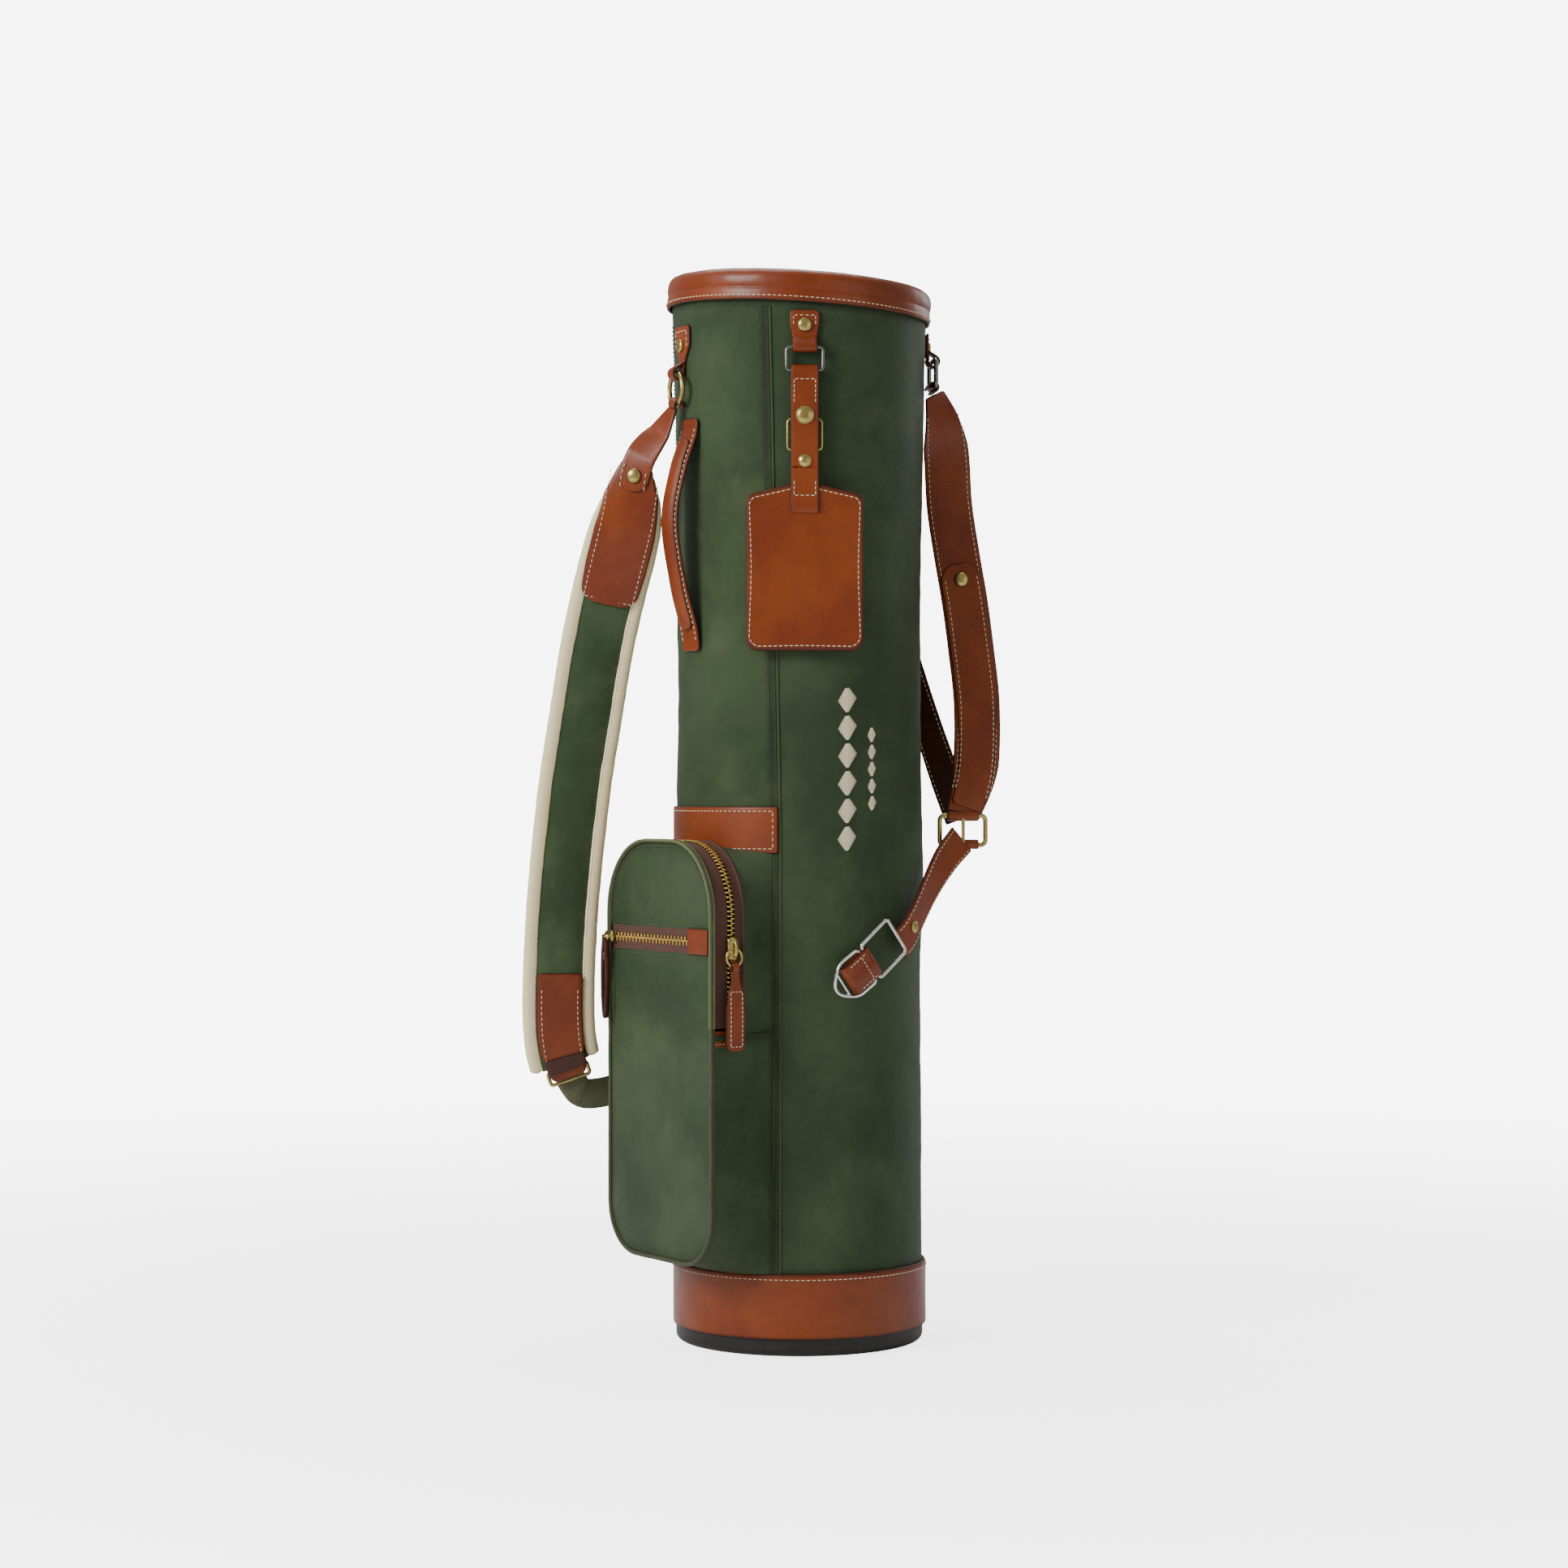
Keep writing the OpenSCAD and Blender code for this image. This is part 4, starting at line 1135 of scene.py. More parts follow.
@dataclass
class Shell:
    """The round canvas cover with its cuff, collar, seams and band."""

    body: str = "bag"
    canvas_low: float = SEAT
    seam: float = 41.0
    seam_lean: float = 4.5
    stitch_inset: float = 4.5

    def build(self) -> None:
        """Builds every piece of the shell."""
        self._cover()
        self._welts()
        self._cuff()
        self._collar()
        self._band()
        self._inside()

    def _cover(self) -> None:
        """The canvas, pulled over the tube with slight hollows and creases."""
        angles = np.linspace(0, 360, 181)[:-1]
        levels = np.linspace(0, 1, 150)
        top = BARREL.mouth(angles)[None]
        z = self.canvas_low + (top - self.canvas_low) * levels[:, None]
        turn = np.broadcast_to(angles[None], z.shape)
        points = BARREL.on_skin(turn, z, 0.0)
        points = points + radial(turn) * wave(points)[..., None]
        wear = np.clip(1 - np.abs(z - top + 24) / 16, 0, 1) * 0.35
        # Painted shade: a dark band on the canvas just above the cuff and just under the collar.
        shade = np.clip(1 - (z - 66) / 5, 0, 1) * 0.6 + np.clip(1 - (top - 16 - z) / 5, 0, 1) * 0.6
        maker = Maker().grid(points, ring=True, wear=wear, shade=np.clip(shade, 0, 1))
        cover = maker.piece("canvas_cover", Finish.CANVAS, self.body, "main_canvas", "front_canvas")

    def _welts(self) -> None:
        """Flat-felled seams beside the pocket and up the back, with two rows of stitches each."""
        maker, rows = Maker(), Stitching(3.4, 2.6, 0.6)
        for angle, lean in ((self.seam, self.seam_lean), (-self.seam, -self.seam_lean), (180, 0)):
            path = skin_drop(angle, BARREL.rim - 20, 64, 0.5, 120, lean)
            path.points += path.out * wave(path.points)[:, None]
            maker.strip(path, 8, 1.3, wrap=BARREL.radius, ripple=0.4)
            rows.line(path.moved(-2.4, 0.9, BARREL.radius)).line(path.moved(2.4, 0.9, BARREL.radius))
            line = path.moved(4.6 if angle > 0 else -4.6, -0.1)
            maker.tube(line.points, 0.9, sides=8, wear=0.9)
        maker.piece("seam_welts_cloth", Finish.CANVAS_TRIM_PAINTED_SHADE, self.body, "seam_welts")
        rows.piece("seam_stitches", self.body, Finish.GREEN_STITCH)

    def _cuff(self) -> None:
        """The leather cuff at the base, with a rolled edge and one white row."""
        low, high = box_mm("base_cuff")
        outer, height = high.x, high.z - low.z
        angles = np.linspace(0, 360, 181)[:-1]
        profile = [(-3.6, 0.2), (-0.8, 0.0), (0.0, 0.8), (0.1, 3), (0.0, 12), (0.1, 26), (0.0, height - 9),
                   (0.15, height - 6), (0.0, height - 3), (-0.5, height - 1.2), (-1.2, height - 0.2),
                   (-2.2, height), (-4.2, height - 0.4)]
        rows = np.array([[outer + r, low.z + z] for r, z in profile])
        points = radial(angles)[None] * rows[:, :1, None]
        points[..., 2] = rows[:, 1:2]
        points = points + radial(angles)[None] * (cloudy(points, 26.0, 5.5) * 0.5)[..., None]
        edge = np.array([1, 0.9, 0.7, 0.3, 0, 0, 0, 0.1, 0.4, 0.8, 1, 1, 1])[:, None]
        Maker().grid(points, ring=True, edge=edge).piece(
            "base_cuff_leather", Finish.TAN, self.body, "base_cuff", smoother=1)
        rows = Stitching()
        rows.line(skin_arc(0, 360, high.z - self.stitch_inset, outer - BARREL.radius + 0.25, 180, True))
        rows.piece("base_cuff_stitches", self.body)
        seam, joint = Stitching(), Maker()
        path = skin_drop(172, high.z - 1, low.z + 1, outer - BARREL.radius + 0.4, 20)
        joint.strip(path, 16, 1.6, wrap=outer).piece("base_cuff_joint", Finish.TAN, self.body)
        seam.both_edges(path, 16, 2.6, 1.0, outer)
        seam.piece("base_cuff_joint_stitches", self.body)

    def _collar(self) -> None:
        """The rolled leather collar over the moulded frame."""
        outer = BARREL.radius + BARREL.flare + 3.8
        inner = outer - 20.2
        profile = [(outer - 2.6, -15.4), (outer - 0.6, -16), (outer, -15), (outer + 0.1, -10),
                   (outer - 0.3, -6.4), (outer - 0.9, -5.6), (outer - 0.2, -4.6), (outer + 0.3, 0),
                   (outer - 0.1, 4.2), (outer - 1.9, 7.8), (outer - 5.2, 9.9), (outer - 10.1, 10.5),
                   (inner + 5.2, 9.9), (inner + 1.8, 7.6), (inner + 0.1, 4), (inner, -2), (inner + 0.2, -14),
                   (inner + 1, -15.6)]
        angles = np.linspace(0, 360, 181)[:-1]
        rows = np.array(profile)
        flat = radial(angles)[None] * rows[:, :1, None]
        flat[..., 2] = rows[:, 1:2]
        pull = cloudy(flat * [1, 1, 0.6], 15.0, 2.2) * 0.45 + cloudy(flat, 6.0, 8.2) * 0.14
        flat = flat + radial(angles)[None] * pull[..., None]
        flat[..., 2] += pull * 0.5
        points = flat @ BARREL.turn().T + [0, 0, BARREL.rim]
        # The edge mark darkens the tucked lower edge as a burnished edge, and darkens the inner wall of the roll, more
        # deeply into the mouth, as painted shade.
        edge = np.interp(np.arange(18), [0, 1, 2, 3, 12, 14, 17], [1, 1, 0.6, 0, 0, 0.6, 1])[:, None]
        maker = Maker().grid(points, ring=True, edge=edge)
        maker.piece("rolled_collar", Finish.TAN, self.body, "top_collar", smoother=1)
        ring = radial(angles) * (outer + 0.25)
        ring[:, 2] = -12.2
        line = ring @ BARREL.turn().T + [0, 0, BARREL.rim]
        up = np.tile(BARREL.turn()[:, 2], (180, 1))
        rows = Stitching().line(Path(line, up, radial(angles) @ BARREL.turn().T, True))
        rows.piece("collar_stitches", self.body)

    def _band(self) -> None:
        """The leather band over the pocket's top, stitched all round."""
        low, high = box_mm("pocket_band")
        middle, height = (low.z + high.z) / 2, high.z - low.z
        path = skin_arc(-self.seam - 6, self.seam + 6, middle, 1.9, 60)
        Maker().strip(path, height, 2.6, ripple=0.25).piece(
            "pocket_band_leather", Finish.TAN, self.body, "pocket_band")
        Stitching().frame_line(path, height, 3.6, 1.4).piece("pocket_band_stitches", self.body)

    def _inside(self) -> None:
        """The divider between the two club wells."""
        low, high = box_mm("divider_bar")
        columns = np.linspace(low.x + 1, high.x - 1, 50)
        turn = np.linspace(0, 2 * math.pi, 25)[:-1]
        ring = np.stack([np.cos(turn) * (high.y + 1.5), np.sin(turn) * (high.z - low.z) / 2], axis=1)
        rows = []
        for x in [columns[0], *columns, columns[-1]]:
            size = 0.02 if len(rows) in (0, 51) else 1.0
            rows.append([[x, y * size, (low.z + high.z) / 2 + z * size] for y, z in ring])
        points = np.array(rows)
        points[..., 1] += cloudy(points, 14.0, 4.4) * 0.5 * np.sign(points[..., 1])
        pad = Maker().grid(points, ring=True).piece("divider_pad", Finish.DIVIDER, self.body, "divider_bar")
        low, high = box_mm("divider_cloth")
        x, z = np.meshgrid(np.linspace(low.x, high.x, 30), np.linspace(low.z, high.z, 90))
        points = np.stack([x, 0 * x, z], axis=2)
        points[..., 1] = cloudy(points * [1, 1, 0.3], 40.0, 6.1) * 2.5
        cloth = Maker().grid(points).piece("divider_curtain", Finish.LINING, self.body, "divider_cloth")


@dataclass
class Pocket:
    """The front pocket: gusset, panels, piping and both zips."""

    body: str = "bag"
    flap: str = "pocket_flap"
    top_corner: float = 58.0
    low_corner: float = 40.0
    puff: float = 2.6
    tooth_pitch: float = 3.7
    short_pitch: float = 5.2
    tooth: tuple[tuple[float, float, float], ...] = ((-3.9, 0.0, 0.0), (-3.8, 0.6, 0.8), (-1.2, 0.62, 1.0),
                                                     (0.4, 0.75, 1.1), (0.8, 0.45, 0.7), (0.85, 0.0, 0.0))
    sewn_angle: float = 45.5
    sewn_low: float = 64.0
    sewn_top: float = 403.0

    def __post_init__(self) -> None:
        """Reads the pocket's size from the frame."""
        low, high = box_mm("pocket_lower_panel")
        self.half = high.x
        self.front = -low.y
        self.low = low.z
        self.hinge = high.z + 1
        self.top = box_mm("flap_panel")[1].z
        self.zip_z = sum(p.z for p in box_mm("front_zip_chain")) / 2
        chain = box_mm("main_zip_outer_chain")
        self.back = -chain[1].y
        self.chain = -chain[0].y

    def outline(self, inset: float, spacing: float = 3.0) -> Array:
        """The pocket's outline in X and Z, once round from the middle of its lower edge.

        Args:
            inset: how far it is drawn in.
            spacing: distance between points.

        Returns:
            Points evenly spaced, with the lower right corner first.
        """
        half, top, low = self.half - inset, self.top - inset, self.low + inset
        high_r, low_r = self.top_corner - inset, self.low_corner - inset
        line = [(0.0, low)]
        for x, z, r, start in (
            (half - low_r, low + low_r, low_r, -90), (half - high_r, top - high_r, high_r, 0),
            (high_r - half, top - high_r, high_r, 90), (low_r - half, low + low_r, low_r, 180),
        ):
            line += [(x + r * math.cos(radians(start + t)), z + r * math.sin(radians(start + t)))
                     for t in np.linspace(0, 90, 25)]
        given = np.array([*line, line[0]])
        return spaced(given, int(travelled(given)[-1] / spacing) + 1)[:-1]

    def arch(self, inset: float, z0: float, spacing: float = 3.0) -> Array:
        """The part of the outline above a height.

        Args:
            inset: how far it is drawn in.
            z0: the height.
            spacing: distance between points.

        Returns:
            The points, from right to left.
        """
        line = self.outline(inset, spacing)
        kept = line[line[:, 1] > z0]
        return np.array([(self.half - inset, z0), *kept, (inset - self.half, z0)])

    def _half_width(self, z: Array) -> Array:
        """Half the pocket's width.

        Args:
            z: the heights.

        Returns:
            The half width at each.
        """
        above = np.clip(z - (self.top - self.top_corner), 0, self.top_corner)
        under = np.clip(self.low + self.low_corner - z, 0, self.low_corner)
        return (self.half - self.top_corner + np.sqrt(self.top_corner**2 - above**2)
                - self.low_corner + np.sqrt(self.low_corner**2 - under**2))

    def _panel(self, z0: float, z1: float, puff: float) -> tuple[Array, Array]:
        """A grid over part of the front.

        Args:
            z0: lower edge.
            z1: upper edge.
            puff: how far its middle stands out.

        Returns:
            The points, and marks for wear near its edges.
        """
        t = np.linspace(0, 1, 56)
        bend = (1 - np.cos(t * math.pi)) / 2
        share = t * 0.35 + bend * 0.65
        z = z0 + (z1 - z0) * share
        z = np.clip(z, self.low + 0.05, self.top - 0.05)
        half = self._half_width(z) - 0.4
        s = np.linspace(-1, 1, 61)
        x = half[:, None] * s[None]
        zz = np.broadcast_to(z[:, None], x.shape)
        inside = np.minimum(half[:, None] - np.abs(x), np.minimum(zz - self.low, self.top - zz) + 0.3)
        rise = np.clip(inside / 34, 0, 1)
        rise = np.sin(rise * math.pi / 2) ** 0.8
        ends = np.clip(np.minimum(zz - z0, z1 - zz) / 12, 0, 1)
        points = np.stack([x, -(self.front - 1.2 + 0 * x), zz], axis=2)
        soft = cloudy(points, 33.0, 7.7) * 0.7 + cloudy(points, 12.0, 3.9) * 0.22
        points[..., 1] -= rise * (puff * np.sin(ends * math.pi / 2) + 1.0) + soft * rise
        return points, np.clip(1 - inside / 7, 0, 1) * 0.55

    def build(self) -> None:
        """Builds every piece of the pocket."""
        self._gusset()
        self._fronts()
        self._piping()
        self._main_zip()
        self._zip_ends()
        self._front_zip()

    def _sewn_to(self, line: Array) -> Array:
        """Where each point of the outline is sewn to the body: a square-cornered line on the canvas.

        Args:
            line: the outline in X and Z.

        Returns:
            Points on the body, in line with the outline's points.
        """
        square = line.copy()
        for r, cz, sz in ((self.low_corner, self.low + self.low_corner, -1),
                          (self.top_corner, self.top - self.top_corner, 1)):
            cx = self.half - r
            for way in (1, -1):
                d = line - [way * cx, cz]
                inside = (d[:, 0] * way > 0) & (d[:, 1] * sz > 0)
                grown = d * (r / np.maximum(np.abs(d).max(axis=1, keepdims=True), 1e-6))
                square[inside] = (grown + [way * cx, cz])[inside]
        angles = self.sewn_angle * np.clip(square[:, 0] / self.half, -1, 1)
        z = np.interp(square[:, 1], [self.low, self.low + 60, self.top - 60, self.top],
                      [self.sewn_low, self.low + 58, self.top - 62, self.sewn_top])
        return BARREL.on_skin(angles, z, 0.2)

    def _gusset(self) -> None:
        """The side wall: it runs from the front's rounded edge back to square corners on the body."""
        line = self.outline(0.5)
        step = self.hinge - 7
        under = line[:, 1] < step
        crossing = np.flatnonzero(under != np.roll(under, -1))
        for k in reversed(crossing):
            side = math.copysign(self.half - 0.5, line[k, 0])
            up = 0.02 if line[(k + 1) % len(line), 1] > step else -0.02
            line = np.insert(line, k + 1, [[side, step - up], [side, step + up]], axis=0)
        rear = self._sewn_to(line)
        deep = np.where(line[:, 1] < step, self.front - 1.6, self.back)
        front = np.stack([line[:, 0], -deep, line[:, 1]], axis=1)
        turn = np.roll(line, -2, axis=0) - np.roll(line, 2, axis=0)
        normal = unit(np.stack([turn[:, 1], 0 * turn[:, 0], -turn[:, 0]], axis=1))
        share = np.linspace(0, 1, 19)[:, None, None]
        points = rear[None] * (1 - share) + front[None] * share
        sag = cloudy(points, 27.0, 1.1) * 1.5 + cloudy(points, 11.0, 5.2) * 0.35 - 1.0
        points = points + normal[None] * (sag * np.sin(share[..., 0] * math.pi))[..., None]
        near = np.clip(np.abs(share[..., 0] - 0.5) * 2 - 0.7, 0, 1) * 1.3
        # Painted shade: the gusset darkens towards the body, in the recess behind the pocket.
        shade = np.clip(1 - share[..., 0] * 9, 0, 1) * 0.7
        gusset = Maker().grid(points, ring=True, wear=near * (share[..., 0] > 0.5), shade=shade).piece(
            "pocket_gusset_cloth", Finish.CANVAS, self.body, "pocket_gusset")
        kept = rear[rear[:, 2] < self.sewn_top - 2]
        split = int(np.argmax(np.linalg.norm(np.diff(kept, axis=0), axis=1))) + 1
        ring = np.roll(kept, -split, axis=0)
        joining = Maker().tube(ring, 1.3, sides=10, wear=0.5)
        joining.piece("pocket_joining_seam", Finish.CANVAS_TRIM_PAINTED_SHADE, self.body)
        seam, rows = Maker(), Stitching(3.4, 2.6, 0.5)
        for side in (-1, 1):
            spots = [(side * (self.half - inset), -depth, step)
                     for inset, depth in ((5.0, 74), (3.0, 92), (0.9, 113), (0.2, 131))]
            path = through(spots, (side, 0, 0), 24)
            seam.strip(path.moved(0, 0.3), 5, 1.4, ripple=0.3)
            rows.line(path.moved(1.8, 1.2))
        seam.piece("gusset_seam", Finish.CANVAS_TRIM_PAINTED_SHADE, self.body)
        rows.piece("gusset_seam_stitches", self.body, Finish.GREEN_STITCH)

    @property
    def fold(self) -> Bend:
        """The bag's and the flap's bodies, with the flap's hinge line between them."""
        y = -self.front * MM
        return Bend(self.body, self.flap, (0.0, y, (self.hinge - 8) * MM), (0.0, y, (self.hinge + 8) * MM))

    def _fronts(self) -> None:
        """The front below the short zip, in one piece over the hinge line, and the panel above the zip."""
        wide = 2 * self.half * MM
        for name, z0, z1, puff, body, stands in (
            ("pocket_front_cloth", self.low, self.zip_z - 9.5, self.puff, self.fold, "pocket_lower_panel"),
            ("flap_upper_front", self.zip_z + 9.5, self.top, 1.6, self.flap, "flap_panel"),
        ):
            points, wear = self._panel(z0, z1, puff)
            panel = Maker().grid(points, wear=wear).piece(name, Finish.CANVAS, body, stands)
            (z1 - z0) * MM
            min(cloth_area(panel), wide * (z1 - z0) * MM)
        rows = Stitching(3.4, 2.6, 0.6)
        reach, y = self.half - 6, -self.front - 0.5
        for z in (self.zip_z - 12, self.zip_z + 12):
            rows.line(through([(-reach, y, z), (reach, y, z)], (0, -1, 0)))
        rows.piece("front_zip_stitches", self.flap, Finish.GREEN_STITCH)

    def _piping(self) -> None:
        """Corded piping all round the front."""
        line = self.outline(-0.3)
        points = np.stack([line[:, 0], 0 * line[:, 0] - (self.front - 0.4), line[:, 1]], axis=1)
        points = points + cloudy(points, 18.0, 2.9)[..., None] * 0.25
        maker = Maker().tube(points, 1.9, closed=True, sides=14)
        maker.tube(points + [0, 2.4, 0], 1.3, closed=True, sides=8)
        maker.piece("pocket_piping_cord", Finish.PIPING, self.fold, "pocket_lower_piping")
        lip = self.outline(3.6)
        points = np.stack([lip[:, 0], 0 * lip[:, 0] - (self.front + 0.2), lip[:, 1]], axis=1)
        turn = unit(np.roll(points, -1, axis=0) - np.roll(points, 1, axis=0))
        face = np.tile([0.0, -1.0, 0.0], (len(points), 1))
        over = points[:, 2] > self.zip_z + 11
        rows = Stitching(3.6, 2.8, 0.55).line(Path(points[over], turn[over], face[over]), 0.5)
        rows.piece("flap_edge_stitches", self.flap, Finish.GREEN_STITCH)

    def _tape(self, line: Array, y0: float, y1: float) -> Array:
        """A strip of zip tape on the outline.

        Args:
            line: the outline in X and Z.
            y0: depth of its first edge.
            y1: depth of its second edge.

        Returns:
            A grid of points.
        """
        depths = np.linspace(y0, y1, 5)
        return np.stack([np.stack([line[:, 0], 0 * line[:, 0] - y, line[:, 1]], axis=1) for y in depths])

    def _tooth_row(self, maker: Maker, points: Array, out: Array, along: Array, inward: Array, offset: float,
                   pitch: float) -> None:
        """Adds one row of zip teeth.

        Args:
            maker: what collects them.
            points: line of the chain's middle.
            out: the way that the teeth face, at each point.
            along: direction of the chain at each point.
            inward: from the tape towards the chain's middle.
            offset: where the first tooth stands, in pitches.
            pitch: from one tooth to the next.
        """
        own = travelled(points)
        spots = np.arange(offset * pitch, own[-1], pitch)
        here, face, run, side = (
            np.stack([np.interp(spots, own, column) for column in given.T], axis=1)
            for given in (points, out, along, inward)
        )
        corners = ((-1, -1), (1, -1), (1, 1), (-1, 1))
        for c, o, r, s in zip(here, face, run, side):
            rows = [[c + s * t + r * a * wide + o * b * tall for a, b in corners]
                    for t, wide, tall in self.tooth]
            maker.grid(np.array(rows), ring=True)

    def _main_zip(self) -> None:
        """The arched zip: both tapes and their teeth."""
        for name, body, stands, y0, y1, z0, sense in (
            ("outer_zip", self.body, "main_zip_outer_chain",
             self.back + 0.2, self.chain - 2.4, self.hinge - 7, -1),
            ("inner_zip", self.flap, "main_zip_inner_chain",
             self.front - 3.0, self.chain + 3.6, self.hinge + 0.6, 1),
        ):
            line = self.arch(0.2, z0)
            tape = Maker().grid(self._tape(line, y0, y1))
            lip = np.stack([line[:, 0], 0 * line[:, 0] - y0 - sense * 0.2, line[:, 1]], axis=1)
            tape.tube(lip, 1.5, sides=8)
            tape.piece(name + "_tape", Finish.ZIP_TAPE, body, stands)
            middle = self.chain + 0.4
            fine = self.arch(-0.6, z0 + 1, 2.0)
            points = np.stack([fine[:, 0], 0 * fine[:, 0] - middle, fine[:, 1]], axis=1)
            run = unit(np.gradient(points, axis=0))
            out = unit(np.cross(run, [0.0, 1.0, 0.0]))
            inward = np.tile([0.0, float(sense), 0.0], (len(points), 1))
            teeth = Maker()
            self._tooth_row(teeth, points, out, run, inward, 0.5 if sense > 0 else 0.0, self.tooth_pitch)
            teeth.piece(name + "_teeth", Finish.TEETH, body)
            rows = Stitching(3.2, 2.4, 0.55)
            edge = y0 - sense * 2.2
            path = np.stack([line[:, 0], 0 * line[:, 0] - edge, line[:, 1]], axis=1)
            turn = unit(np.gradient(path, axis=0))
            rows.line(Path(path, turn, unit(np.cross(turn, [0.0, 1.0, 0.0]))), 0.3)
            rows.piece(name + "_stitches", body, Finish.GREEN_STITCH)

    def _zip_ends(self) -> None:
        """Leather stops under both ends of the arched zip."""
        stops, rows = Maker(), Stitching(3.2, 2.4, 0.6)
        middle, width = (self.front - 2 + self.back) / 2, self.front - 1 - self.back
        for side in (-1, 1):
            x = side * (self.half - 1.0)
            path = through([(x, -middle, self.hinge - 1.2), (x, -middle, self.hinge - 14)], (side, 0, 0), 12)
            stops.strip(path, width, 1.4, tips=(1, 3))
            rows.frame_line(path, width, 2.4, 0.7, ends=(False, True))
        stops.piece("zip_end_stops", Finish.TAN, self.body)
        rows.piece("zip_end_stitches", self.body)

    def _front_zip(self) -> None:
        """The short zip across the flap, with its leather end patch."""
        low, high = box_mm("front_zip_chain")
        x = np.linspace(low.x, high.x, 60)
        xx, zz = np.meshgrid(x, np.linspace(low.z, high.z, 6))
        tape = Maker().grid(np.stack([xx, 0 * xx - (self.front - 0.3), zz], axis=2))
        tape.piece("front_zip_tape", Finish.ZIP_TAPE, self.flap, "front_zip_chain")
        line = np.stack([x, 0 * x - self.front - 0.1, 0 * x + self.zip_z], axis=1)
        teeth = Maker()
        run, out = np.tile([1.0, 0, 0], (60, 1)), np.tile([0, -1.0, 0], (60, 1))
        for sense, offset in ((1.0, 0.5), (-1.0, 0.0)):
            inward = np.tile([0, 0, sense], (60, 1))
            self._tooth_row(teeth, line, out, run, inward, offset, self.short_pitch)
        teeth.piece("front_zip_teeth", Finish.TEETH, self.flap)
        low, high = box_mm("front_zip_patch")
        y = -self.front - 0.6
        path = through([(low.x, y, self.zip_z), (high.x + 1, y, self.zip_z)], (0, -1, 0))
        patch = Maker().strip(path, high.z - low.z + 1, 2.0)
        patch.piece("front_zip_end_patch", Finish.TAN, self.flap, "front_zip_patch")


